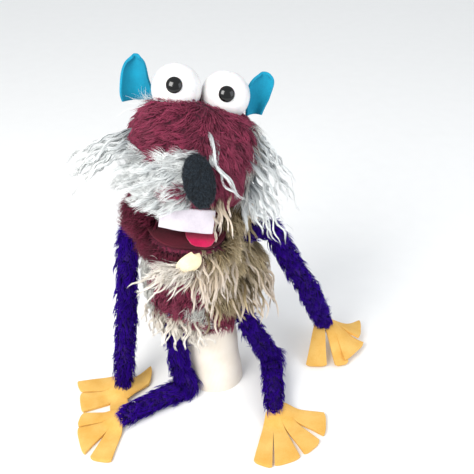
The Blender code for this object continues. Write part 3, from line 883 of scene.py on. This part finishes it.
light = rng.random(len(roots)) < 0.5 + 0.25 * to_right[:, 0]
locks("chest_cream_locks", "torso", rng, guides[:, light], cream_hair, 1.8, 0.75, strands=12, **shag)
locks("chest_taupe_locks", "torso", rng, guides[:, ~light], taupe_hair, 1.9, 0.75, strands=13, **shag)


rng = np.random.default_rng(31)
hem_form = tucked(ring_form(((94, 50, 38), (102, 53, 41))))
front_left = edges(y=(-6, -20), x=(-4, -13))
guides = sown_lines(rng, (hem_form, 64, front_left), lies((0.05, -0.05, -1.0), 0.28), (15, 29), 0.35)
curls = {"strands": 13, "wave": 2.2, "waves": 1.3, "steps": 12}
locks("hem_curls", "torso", rng, guides, warm_hair, 2.0, 0.75, ("hem_tufts",), **curls)
hanging = lies(DOWN, 0.25)
hem_front = edges(y=(10, -10), x=(3, -6))
pile(
    "hem_grey_pile", "torso", rng, (hem_form, 1100, hem_front), hanging, grey_hair, 16, 0.8,
    stray=0.5, lift=0.3, wave=1.2, steps=5,
)
fringe_form = tucked(ring_form(((88, 50, 38), (100, 52, 40))))
pile("hem_maroon_pile", "torso", rng, (fringe_form, 1700), hanging, deep_hair, 11, 0.9, stray=0.5, lift=0.3)


# ---------------------------------------------------------------- head


def raised(form):
    """The form with its brow lifted in front of the eyeballs, as a bell curve of the distance back."""

    def lifted(u, v):
        points = form(u, v)
        x, y, z = np.moveaxis(from_head(points), -1, 0)
        rise = (15.5 - 5 * np.tanh(x / 20)) * np.exp(-(((y + 38) / 15) ** 2))
        rise = rise * soft_step(z, 46, 74) * soft_step(47 - np.abs(x), 0, 14)
        wide = 6 * np.sign(x) * soft_step(np.abs(x), 20, 42) * soft_step(z, 42, 60)
        wide = wide * np.exp(-(((y + 24) / 26) ** 2))
        up = HEAD_TURN @ np.array((0, -0.25, 1.0))
        return points + rise[..., None] * up + wide[..., None] * HEAD_TURN[:, 0]

    return lifted


head_form = raised(upright_form(HEAD_SECTIONS, 2.5))
head_core = closed_skin("head_ground", head_form, 96, 72, head_ground)


def muzzle_share(points):
    """The white muzzle: below a line under the eyes, left of the nose, with a maroon spot by the nose."""
    x, y, z = from_head(points).T
    wobble = ragged(points, 3.5, 13)
    top = soft_step(61 + 0.25 * (x + 9) - z + wobble, -2, 4)
    spot = soft_step(1 - np.hypot((x + 15) / 13, (z - 35.5) / 6.5), 0, 0.4)
    return top * soft_step(1.5 - x, -1, 3) * soft_step(-y, 12, 24) * (1 - spot)


def mouth_side(points):
    """1 on the underside that faces the mouth or the neck."""
    x, y, z = from_head(points).T
    return soft_step(20 + 0.05 * np.abs(y) - z, -1, 4) * soft_step(58 - np.abs(y + 8), 0, 6)


mark(head_core, "pale", muzzle_share(spots(head_core)))
padded(head_core, "head", ("head_fur", "head_foam"))

eye_middles = {}
for side in ("left", "right"):
    low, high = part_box(f"{side}_eyeball")
    eye_middles[side] = np.array(low + high) / 2 / MM


def eye_gap(points):
    """The distance to the nearer eyeball's surface."""
    gaps = [np.linalg.norm(points - middle, axis=1) - EYE_RADIUS for middle in eye_middles.values()]
    return np.min(gaps, axis=0)


def bare(points):
    """The plain part of the head: clear of the eyeballs, the muzzle and the mouth."""
    return soft_step(eye_gap(points), -0.5, 2.0) * (1 - muzzle_share(points)) * (1 - mouth_side(points))


def brow(points):
    """The strip of face just in front of the eyeballs, whose pile stands up against them."""
    gap = eye_gap(points)
    return soft_step(8 - gap, 0, 4) * soft_step(gap, -1.0, 0.5) * soft_step(-from_head(points)[:, 1], 16, 22)


def right_side(points):
    """1 on the right cheek's side, where the white and grey locks are sewn."""
    x, y, z = from_head(points).T
    edge = soft_step(x + ragged(points, 3, 17), 39, 43) * soft_step(y, -56, -44)
    return edge * soft_step(z, 16, 26) * soft_step(14 - y, 0, 10)


def face_comb(points, rng):
    """Hair parts over the nose: to the left it lies nearly level, to the right it runs steeply down."""
    x = from_head(points)[:, 0]
    right = soft_step(x, -10, 14)[:, None]
    lie = (1 - right) * np.array((-1.0, 0.05, -0.4)) + right * np.array((0.5, 0.0, -0.95))
    return lie @ HEAD_TURN.T


def back_comb(points, rng):
    """Hair on the back of the head falls and parts in the middle."""
    aside = 0.5 * np.tanh(from_head(points)[:, :1] / 25)
    return np.array((0.0, 0.3, -1.0)) + aside * np.array((1.0, 0, 0))


def muzzle_length(points):
    """The muzzle's fur is longer toward the cheek."""
    return 15 + 8 * soft_step(-from_head(points)[:, 0:1], 8, 36)


rng = np.random.default_rng(41)
forward = edges(from_head, y=(12, 4))
pile(
    "face_maroon_pile", "head", rng, (head_form, 7200, bare, forward), face_comb, maroon_hair, 10.5, 0.8,
    clump=5, stray=0.35, lift=0.42, wave=0.5, steps=4,
)
rearward = edges(from_head, y=(2, 14))
pile(
    "back_maroon_pile", "head", rng, (head_form, 4400, bare, rearward), back_comb, maroon_hair, 11, 0.9,
    clump=6, stray=0.4, lift=0.5,
)
SHORT_TUFT = {"stray": 0.5, "lift": 0.5, "steps": 4}
lie = head_lies((-0.5, -0.25, 1.0), 0.3)
pile("brow_maroon_pile", "head", rng, (head_form, 1100, brow), lie, maroon_hair, 9, 0.8, clump=5, **SHORT_TUFT)

rng = np.random.default_rng(43)
muzzle_top = (muzzle_share, without(mouth_side))
fuller = lambda points: 0.45 + 0.55 * edges(from_head, x=(-44, -26))(points)
lie = head_lies((-1.0, 0.1, -0.3), 0.1)
pile(
    "muzzle_white_pile", "head", rng, (head_form, 3900, *muzzle_top, fuller), lie, white_hair,
    muzzle_length, 0.5, clump=8, gather=0.55, stray=0.36, lift=0.5, fall=0.08, wave=1.0, waves=1.2, steps=5,
)
lie = head_lies((-1.0, -0.05, -0.26), 0.16)
off_cheek = edges(from_head, x=(-46, -30))
guides = sown_lines(rng, (head_form, 95, *muzzle_top, off_cheek), lie, (15, 28), 0.36, 0.08)
soft_locks = {"strands": 18, "wave": 1.2, "waves": 1.2, "twist": 0.5, "fray": 1.2, "steps": 12}
locks("muzzle_white_locks", "head", rng, guides, white_hair, 2.4, 0.42, **soft_locks)

rng = np.random.default_rng(47)
WHISKERS = 17
share = rng.random((WHISKERS, 1))
starts = np.array((-45, -20, 68.5)) * (1 - share) + np.array((-46, -37, 52.0)) * share
starts = on_head(starts + rng.normal(0, 1.2, (WHISKERS, 3)))
ends = np.array((-121, -22, 249.0)) * (1 - share) + np.array((-111, -24, 223.0)) * share
ends = ends + rng.normal(0, 4.5, (WHISKERS, 3))
bow = np.array((0, -2.0, 5.0)) * rng.uniform(0.3, 1.2, (WHISKERS, 1))
guides = np.stack([starts, starts * 0.66 + ends * 0.34 + bow, starts * 0.33 + ends * 0.67 + bow, ends])
whiskers = {"strands": 20, "wave": 1.5, "waves": 3.2, "steps": 18}
locks("left_whisker_locks", "head", rng, guides, white_hair, 2.0, 0.8, ("left_cheek_lock",), **whiskers)
left_cheek = (edges(from_head, x=(-38, -44)), strip(2, 40, 17, 8), edges(from_head, y=(-8, -16)))
pile(
    "left_cheek_grey_pile", "head", rng, (head_form, 700, *left_cheek), head_lies((-1.0, 0.1, -0.5), 0.12),
    grey_hair, 21, 0.6, clump=6, stray=0.3, lift=0.25, fall=0.1, wave=0.8, steps=6,
)

rng = np.random.default_rng(53)
lie = head_lies((0.62, -0.25, -1.0), 0.16)
guides = sown_lines(rng, (head_form, 110, right_side), lie, (32, 58), 0.45, 0.08)
cheek = {"strands": 13, "wave": 1.8, "waves": 2.4}
locks("right_cheek_locks", "head", rng, guides, white_hair, 1.9, 0.75, ("right_cheek_lock",), **cheek)
lie = head_lies((0.4, 0.0, -1.0))
pile(
    "right_cheek_grey_pile", "head", rng, (head_form, 2400, right_side), lie, grey_hair, 19, 0.7,
    clump=6, stray=0.5, lift=0.4, wave=1.0, steps=5,
)
starts = on_head(np.array((40, -38, 34.0)) + rng.normal(0, (3, 3, 4), (9, 3)))
ends = starts + np.array((7, -6, -33.0)) + rng.normal(0, 2.0, (9, 3))
guides = np.stack([starts, starts * 0.5 + ends * 0.5 + np.array((2.5, -3.0, 0)), ends])
locks("right_thick_lock", "head", rng, guides, white_hair, 2.4, 0.8, strands=20, wave=0.8, waves=1.2)

rng = np.random.default_rng(59)
FOREHEAD_LOCK = (
    (-1.2, -45, 78.5), (9.4, -53.5, 73.5), (12.8, -66, 59.5),
    (18.9, -72, 49.5), (28.3, -71.5, 39), (37, -62, 29),
)
apart = rng.normal(0, (1.5, 0.8, 1.2), (5, 3)) * np.linspace(0.8, 2.4, len(FOREHEAD_LOCK))[:, None, None]
guides = on_head(np.array(FOREHEAD_LOCK)[:, None] + apart)
wavy = {"strands": 22, "wave": 1.5, "waves": 2.6, "twist": 0.8, "fray": 0.9, "steps": 20}
locks("forehead_white_lock", "head", rng, guides, white_hair, 1.5, 0.6, **wavy)

lie = head_lies((0.2, -0.2, -1.0), 0.3)
nostril_side = (strip(0, 20.5, 10, 4), strip(2, 28, 9, 4), edges(from_head, y=(-46, -58)))
guides = sown_lines(rng, (head_form, 42, *nostril_side), lie, (16, 34), 0.3)
cream_tuft = (cream_hair[0], WHITE)
locks("lip_cream_tuft", "head", rng, guides, cream_tuft, 1.6, 0.7, strands=12, wave=1.3, waves=SHAG_WAVES)
starts = on_head(np.array((-36, -8, 82.0)) + rng.normal(0, (5, 3, 2), (70, 3)))
outward = np.broadcast_to(np.array((-0.4, -0.5, 0.75)), starts.shape)
comb = head_lies((-0.75, -0.1, 0.8), 0.3)(starts, rng)
thin = {"clump": 3, "gather": 0.2, "stray": 0.4, "lift": 0.3, "wave": 0.8, "steps": 7}
wisps = hairs("left_ear_wisps", starts, outward, comb, white_hair[0], rng, 19, 0.34, **thin)
dress(wisps, "head")
lip_bed = ball_form(on_head((-15, -79, 36)), (9, 2.5, 4))
lie = head_lies((-1.0, -0.1, -0.5), 0.25)
pile("lip_maroon_tuft", "head", rng, (lip_bed, 190), lie, maroon_hair, 8.5, 0.75, clump=4, **SHORT_TUFT)

for side, middle in eye_middles.items():
    globe = ball_form(middle, (EYE_RADIUS,) * 3)
    ball = closed_skin(f"{side}_eye_ball", globe, 72, 48, eye_celluloid, 0.004, 0.996)
    dress(ball, "head", (f"{side}_eyeball",))
    gaze = HEAD_TURN @ unit(np.array(PUPIL_GAZE[side]))
    dome = ball_form(middle + gaze * (EYE_RADIUS - 0.3), (PUPIL_RADIUS, PUPIL_RADIUS, 3.4), gaze)
    pupil = closed_skin(f"{side}_pupil_bead", dome, 48, 32, bead_black, 0.35, 0.99)
    dress(pupil, "head", (f"{side}_pupil",))

NOSE_UP = (-0.2, 0.42, 0.88)
nose_form = ball_form(on_head((1.4, -82, 48)), (11.5, 6.5, 20.5), NOSE_UP)
padded(closed_skin("nose_ground", nose_form, 48, 40, black_ground, 0.01, 0.99), "head", ("nose",))
rng = np.random.default_rng(61)
velvet = {"clump": 2.5, "stray": 0.8, "steps": 2}
pile("nose_pile", "head", rng, (nose_form, 3000), lies((0.1, -0.2, -1.0), 0.4), black_hair, 3.2, 0.5, **velvet)


def ear_sheet(side, base, up, height, edges, cup):
    """A felt leaf: rows rise along up between a left and a right edge, bowed back by one minus s squared."""
    up = unit(np.array(up, float))
    across = unit(np.array((up[2], 0, -up[0])))
    t, s = np.meshgrid(np.linspace(0, 1, 28), np.linspace(-1, 1, 19), indexing="ij")
    left, right = np.moveaxis(curve(np.linspace(0, 1, len(edges)), np.array(edges, float), t), -1, 0)
    rise = height * (t - 0.045 * t**5 * s**2)
    hollow = cup * (1 - s**2) * (1 - 0.35 * t) + 1.2 * np.sin(3.1 * t + 1.2 * s)
    place = left * (1 - s) / 2 + right * (1 + s) / 2
    back = hollow[..., None] * np.array((0, 1.0, 0))
    points = np.array(base, float) + rise[..., None] * up + place[..., None] * across + back
    ear = sheet_piece(f"{side}_ear_felt", [on_head(points)], teal_felt, 2.2)
    dress(ear, "head", (f"{side}_ear",))


LEFT_EDGES = (
    (-12, 13.6), (-13.3, 13), (-13.4, 12), (-13, 10.5), (-12.4, 9.2),
    (-11.5, 8.4), (-10, 7.6), (-7.4, 6.2), (-2.4, 3.0),
)
RIGHT_EDGES = (
    (-6.4, 6.4), (-6.5, 8), (-6.6, 10), (-6.7, 12), (-6.7, 13.2),
    (-5.8, 14.4), (-4, 15.2), (-0.8, 14.6), (4.4, 11.6),
)
ear_sheet("left", (-49, -1, 81), (-0.13, -0.06, 0.98), 38.5, LEFT_EDGES, 6)
ear_sheet("right", (48, -4, 81), (-0.12, -0.06, 0.98), 36.5, RIGHT_EDGES, 5)


# ---------------------------------------------------------------- mouth and jaw

HINGE_Y = -12
PALATE_SLOPE, FLOOR_SLOPE = 0.25, 0.16


def lip_half(half, share):
    """A lip's half-width at a share of its depth: a rounded outline that narrows to the front."""
    bend = 0.7
    return half * np.sqrt(1 - np.minimum(share, 0.995) ** (2 / bend)) ** bend


s, t = np.meshgrid(np.linspace(-1, 1, 27), np.linspace(0, 1, 22), indexing="xy")
depth = 0.005 + 0.995 * t
palate_y, floor_y = HINGE_Y - 59.5 * (1 - depth), HINGE_Y - 64 * depth
palate_z = 4.8 + PALATE_SLOPE * (HINGE_Y - palate_y) - 2.8 - 0.4 * np.sin(9 * t) * (1 - s**2)
floor_z = -1.6 - FLOOR_SLOPE * (HINGE_Y - floor_y) - 0.6
upper = np.stack([s * lip_half(33.5, 1 - depth), palate_y, palate_z], -1)
lower = np.stack([s * lip_half(36, depth), floor_y, floor_z], -1)
fold = np.array([[(half * x, -10.4, z) for x in s[0]] for half, z in ((32.5, 1.2), (33, -1.4))])
lining = sheet_piece("mouth_lining", [on_head(np.concatenate([upper, fold, lower]))], lining_felt, 1.4)
for soft in list(lining.modifiers):
    with bpy.context.temp_override(object=lining):
        bpy.ops.object.modifier_apply(modifier=soft.name)
JAW_JOIN = ("head", "jaw", (-22.1, -10, 209.2), (-22.1, -10, 203.6))
dress(lining, JAW_JOIN, ("palate_lining", "mouth_hinge_roll", "jaw_lining"))
plates = ["upper_mouth_plate", "lower_mouth_plate"]

s, t = np.meshgrid(np.linspace(-1, 1, 17), np.linspace(0, 1, 30), indexing="xy")
tongue_y = -20 - 53 * t
half = 12.5 * np.sqrt(1 - np.clip((t - 0.72) / 0.29, 0, 0.98) ** 2) ** 0.8
rise = -FLOOR_SLOPE * (HINGE_Y - tongue_y) + 1.5 * np.sin(np.pi * t) * (1 - s**2)
rise = rise - 2 * soft_step(t, 0.88, 1.0)
tongue_grid = on_head(np.stack([11 + s * half, tongue_y, rise], -1))
tongue = sheet_piece("tongue_satin", [tongue_grid], tongue_satin, 1.6)
dress(tongue, "jaw", ("tongue",))

s, t = np.meshgrid(np.linspace(-1, 1, 31), np.linspace(0, 1, 14), indexing="xy")
teeth_x = -3 + 21.5 * s
teeth_y = -74.5 + 0.006 * teeth_x**2 + 0.7 * np.sin(5 * s) * t
teeth_z = 21.5 - 20 * t - 0.5 * np.sin(2.5 * s) * t
teeth = sheet_piece("upper_teeth_felt", [on_head(np.stack([teeth_x, teeth_y, teeth_z], -1))], white_felt, 2.0)
dress(teeth, "head", ("upper_teeth",))

jaw_form = upright_form(JAW_SECTIONS, 1.5)
jaw_core = closed_skin("jaw_ground", jaw_form, 80, 48, maroon_ground)
padded(jaw_core, "jaw", ("jaw_foam", "jaw_fur"))


def below_lip(points):
    """0 on top of the jaw, 1 on its front, its sides and its underside."""
    x, y, z = from_head(points).T
    return soft_step(-FLOOR_SLOPE * (HINGE_Y - y) - 6.5 - z, 0, 3)


def jaw_right(points):
    """The right of the jaw's front, where the taupe shag starts."""
    return soft_step(from_head(points)[:, 0] + ragged(points, 3, 23), 9, 14)


rng = np.random.default_rng(67)
lie = head_lies((-0.3, 0.0, -1.0), 0.2)
dense = {"clump": 5, "stray": 0.5, "lift": 0.5}
jaw_left = without(jaw_right)
pile("jaw_maroon_pile", "jaw", rng, (jaw_form, 4600, below_lip, jaw_left), lie, jaw_shade_hair, 9, 0.8, **dense)
lie = head_lies((0.1, 0.0, -1.0), 0.2)
pile(
    "jaw_taupe_pile", "jaw", rng, (jaw_form, 1900, below_lip, jaw_right), lie, taupe_hair, 16, 0.8,
    lift=0.4, wave=1.2, **SHAG_PILE,
)
lie = head_lies((0.0, -0.1, -1.0), 0.2)
jaw_front = edges(from_head, z=(-36, -22), y=(-30, -50))
guides = sown_lines(rng, (jaw_form, 60, jaw_right, jaw_front), lie, (22, 42), 0.35)
locks("jaw_cream_locks", "jaw", rng, guides, cream_hair, 1.7, 0.75, strands=12, wave=1.7, waves=1.3)

JOWLS = {
    "left": ((-35.5, -34, -3), (13.5, 18, 15), jaw_shade_hair, maroon_ground, (-0.9, 0, -0.5)),
    "right": ((38, -31, 0), (9, 15, 13), taupe_hair, taupe_ground, (0.5, 0, -1.0)),
}
JOWL_JOIN = ("head", "jaw", (-22.1, -20, 216), (-22.1, -20, 196))
for side, (middle, size, hair, ground, lie) in JOWLS.items():
    form = ball_form(on_head(middle), size)
    jowl = closed_skin(f"{side}_jowl_ground", form, 40, 28, ground, 0.01, 0.99)
    padded(jowl, JOWL_JOIN, ())
    combing = head_lies(lie, 0.2)
    soft = {"wave": 0.6, "steps": 4, **dense}
    pile(f"{side}_jowl_pile", JOWL_JOIN, rng, (form, 1900), combing, hair, 13, 0.85, **soft)

s, t = np.meshgrid(np.linspace(-1, 1, 15), np.linspace(0, 1, 18), indexing="xy")
half = 8.6 * np.sin(np.pi * np.clip(0.14 + 0.8 * t, 0, 1)) ** 0.8
chin = np.stack([2.5 + s * half + 7 * (t - 0.5), -84.5 + 3 * s**2 + 2 * (1 - t), -32 + 19 * t], -1)
chin_pad = sheet_piece("chin_felt_pad", [on_head(chin)], cream_felt, 2.6)
dress(chin_pad, "jaw", ("chin_tuft",))
chin_bed = ball_form(on_head((-5, -79, -32)), (14, 4, 4))
pile(
    "chin_white_pile", "jaw", rng, (chin_bed, 420), head_lies((-0.85, -0.05, -0.65), 0.2), warm_hair, 16, 0.55,
    stray=0.5, lift=0.3, wave=1.2, steps=7,
)
guides = sown_lines(rng, (chin_bed, 22), head_lies((-0.9, -0.1, -0.6), 0.3), (16, 33), 0.3)
locks("chin_white_locks", "jaw", rng, guides, warm_hair, 1.4, 0.6, strands=11, wave=1.4, waves=1.1)


# ---------------------------------------------------------------- limbs


def limb_line(joints, bulge):
    """Points and radii of a limb's tube: round ends, even in the middle, and fuller where it folds."""
    top, fold, end = (np.array(point, float) for point in joints)
    first, second = unit(fold - top), unit(end - fold)
    corner = fold + unit(first - second) * bulge
    points = [top - first * 5, top - first * 4, top, top + (fold - top) * 0.3, top + (fold - top) * 0.72]
    points += [corner, fold + (end - fold) * 0.28, fold + (end - fold) * 0.7]
    points += [end + second * beyond for beyond in (-2, 1.5, 2.5)]
    radii = [0.3, 4, 6.6, TUBE_RADIUS, TUBE_RADIUS, TUBE_RADIUS + 0.35 * bulge, TUBE_RADIUS]
    radii += [TUBE_RADIUS - 0.4, 5.6, 3.6, 0.3]
    return points, radii


def on_table(form):
    """The form pressed flat where it would pass through the table."""

    def pressed(u, v):
        points = form(u, v)
        points[..., 2] = np.maximum(points[..., 2], 0.5)
        return points

    return pressed


def limb_comb(joints):
    """A rule for combing: the direction of the nearer of the limb's two straight parts."""
    top, fold, end = (np.array(point, float) for point in joints)

    def gap(points, a, b):
        t = np.clip(((points - a) @ (b - a)) / ((b - a) @ (b - a)), 0, 1)
        return np.linalg.norm(points - a - t[:, None] * (b - a), axis=1)

    def rule(points, rng):
        share = soft_step(gap(points, top, fold) - gap(points, fold, end), -6, 6)[:, None]
        return (1 - share) * unit(fold - top) + share * unit(end - fold)

    return rule


def repaint(node, finish):
    """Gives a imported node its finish."""
    node.data.materials.clear()
    node.data.materials.append(finish)


PARTS = {"arm": ("upper_arm", "forearm", "shoulder_tab"), "leg": ("thigh", "shin", "hip_tab")}
BULGE = {"left_arm": 0.0, "right_arm": 1.0, "left_leg": 5.0, "right_leg": 3.0}
BEND_REACH = 13
chenille = {"clump": 4.5, "stray": 0.42}
for number, (limb, joints) in enumerate(LIMBS.items()):
    side, kind = limb.split("_")
    upper, lower, tab = (f"{side}_{part}" for part in PARTS[kind])
    rng = np.random.default_rng(71 + number)
    form = on_table(path_form(*limb_line(joints, BULGE[limb])))
    top, fold, end = (np.array(point, float) for point in joints)
    join = (upper, lower, fold - BEND_REACH * unit(fold - top), fold + BEND_REACH * unit(end - fold))
    core = closed_skin(f"{limb}_ground", form, 28, 110, purple_ground, 0.002, 0.998)
    padded(core, join, (upper, lower))
    combing = limb_comb(joints)
    pile(f"{limb}_pile", join, rng, (form, 3500), combing, purple_hair, 9.0, 0.85, lift=0.65, **chenille)
    if kind == "arm":
        inward, girth = np.array((LEAN * top[2] + 30 * np.sign(top[0]), 0, top[2] - 4)), 6.6
    else:
        inward, girth = top + np.array((0, 0, 17)), 5.0
    stub_line = (inward, inward * 0.85 + top * 0.15, top, top + unit(top - inward) * 4)
    bed = path_form(stub_line, (0.3, girth, girth, 0.3))
    stub = closed_skin(f"{tab}_ground", bed, 24, 40, purple_ground, 0.004, 0.996)
    combing = lies(unit(top - inward) + np.array((0, 0, -0.6)))
    pile(f"{tab}_pile", "torso", rng, (bed, 420), combing, purple_hair, 7.6, 0.8, **chenille)
    padded(stub, "torso", (tab,))
    for wire in (upper, lower):
        repaint(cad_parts[f"{wire}_wire"], core_wire)


# ---------------------------------------------------------------- hands and feet

# Each fan: wrist point, then the slits' ends, with the outer edges' corners first and last, and for each
# digit the two tip corners and the rise of its tip. Neighbouring digits share a slit's end, so the felt
# is one sheet up to the slits.
FANS = {
    "left_hand": {
        "wrist": (-89, -26, 11),
        "slits": ((-98, -8), (-101, -29), (-100, -46), (-84, -42), (-78, -8)),
        "tips": (
            ((-138, -17), (-131, -31), 1.5),
            ((-132, -34), (-126, -58), 0.6),
            ((-99, -57), (-80, -51), 0.3),
            ((-64, -20), (-64, 6), 2.0),
        ),
    },
    "left_foot": {
        "wrist": (-84, -66, 10),
        "slits": ((-94, -58), (-98, -69), (-98, -82), (-84, -84)),
        "tips": (
            ((-125, -60), (-127, -77), 1.0),
            ((-127, -80), (-116, -110), 0.3),
            ((-109, -115), (-90, -119), 0.5),
        ),
    },
    "right_hand": {
        "wrist": (113, 46, 30),
        "slits": ((104, 44), (114, 40), (121, 44), (124, 52), (118, 58)),
        "tips": (
            ((93, 8), (114, 6), 0.3),
            ((124, 6), (138, 11), 1.5),
            ((135, 10), (158, 38), 5.0),
            ((153, 42), (158, 72), 9.0),
        ),
    },
    "right_foot": {
        "wrist": (59, -58, 12),
        "slits": ((50, -64), (56, -83), (65, -74), (75, -68), (68, -52)),
        "tips": (
            ((37, -118), (53, -125), 0.3),
            ((56, -123), (79, -114), 0.3),
            ((84, -110), (99, -95), 0.5),
            ((104, -88), (107, -60), 1.0),
        ),
    },
}
FELT = 2.8
SLIT_AT = 0.36


def fan_edge(wrist, slit, corner, t):
    """A digit's edge: straight from the wrist to a slit's end, then straight on to a tip corner."""
    slit, corner = np.array(slit, float), np.array(corner, float)
    near = wrist[:2] + (slit - wrist[:2]) * (t / SLIT_AT)[..., None]
    far = slit + (corner - slit) * ((t - SLIT_AT) / (1 - SLIT_AT))[..., None]
    return np.where((t < SLIT_AT)[..., None], near, far)


def fan_grids(wrist, slits, tips):
    """One grid for each digit, between its two edges. Points between them bow up slightly, and the height
    eases from the wrist down to the surface."""
    wrist = np.array(wrist, float)
    t, s = np.meshgrid(np.linspace(0, 1, 25), np.linspace(-1, 1, 13), indexing="ij")
    grids = []
    for number, (first, second, rise) in enumerate(tips):
        share = ((1 + s) / 2)[..., None]
        left, right = fan_edge(wrist, slits[number], first, t), fan_edge(wrist, slits[number + 1], second, t)
        flat = left * (1 - share) + right * share
        outward = unit(flat[-1:, 6:7] - wrist[:2])
        flat = flat - outward * soft_step(t, 0.7, 1.0)[..., None] * 2.2 * (s**4)[..., None]
        away = np.linalg.norm(flat - wrist[:2], axis=-1)
        height = wrist[2] + (FELT / 2 + 0.4 - wrist[2]) * soft_step(away, 0, 12 + 1.1 * wrist[2])
        free = soft_step(t, SLIT_AT, 1.0)
        height = height + free * (rise * t + 0.9 * (1 - s**2) * np.sin(np.pi * np.clip(t, 0, 1)))
        grids.append(np.concatenate([flat, height[..., None]], -1))
    return grids


for name, fan in FANS.items():
    felt = sheet_piece(f"{name}_felt", fan_grids(**fan), yellow_felt, FELT)
    dress(felt, name, (name,))

for plate in plates:
    repaint(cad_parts[plate], plate_board)


# ---------------------------------------------------------------- studio

bpy.ops.mesh.primitive_plane_add(size=8, location=(0, 0, 0))
floor = bpy.context.object
floor.name = "studio_floor"
floor_paint, tree, shader, place = blank("matt_white_paper", Roughness=0.9)
fine = add(tree, "TexNoise", {"Vector": place, "Scale": 40.0, "Detail": 4.0}).outputs[0]
tree.links.new(mixed(tree, fine, tone("F4F4F3"), tone("F8F8F7")), shader.inputs["Base Color"])
floor.data.materials.append(floor_paint)

world = bpy.data.worlds.new("studio_air")
bpy.context.scene.world = world
world.use_nodes = True
world.node_tree.nodes["Background"].inputs["Color"].default_value = tone("F4F7FA")
world.node_tree.nodes["Background"].inputs["Strength"].default_value = 0.85


def soft_box(name, place, aim, size, power, colour):
    """A square studio light that points at a spot."""
    light = bpy.data.lights.new(name, "AREA")
    light.shape = "SQUARE"
    light.size = size
    light.energy = power
    light.color = tone(colour)[:3]
    lamp = bpy.data.objects.new(name, light)
    lamp.location = place
    lamp.rotation_euler = (Vector(aim) - Vector(place)).to_track_quat("-Z", "Y").to_euler()
    bpy.context.scene.collection.objects.link(lamp)


soft_box("key_softbox", (-0.55, -0.75, 0.95), (0, 0, 0.18), 0.6, 14, "FFFDFA")
soft_box("fill_softbox", (0.9, -0.5, 0.6), (0, 0, 0.18), 0.8, 4, "F2F6FF")

camera = bpy.data.objects.new("camera", bpy.data.cameras.new("camera"))
camera.data.lens = 57.72
camera.data.sensor_width = 36
camera.location = (0.0224, -0.5837, 0.5283)
camera.rotation_euler = (math.radians(58), 0, 0)
bpy.context.scene.collection.objects.link(camera)
bpy.context.scene.camera = camera
bpy.context.scene.view_settings.view_transform = "Standard"
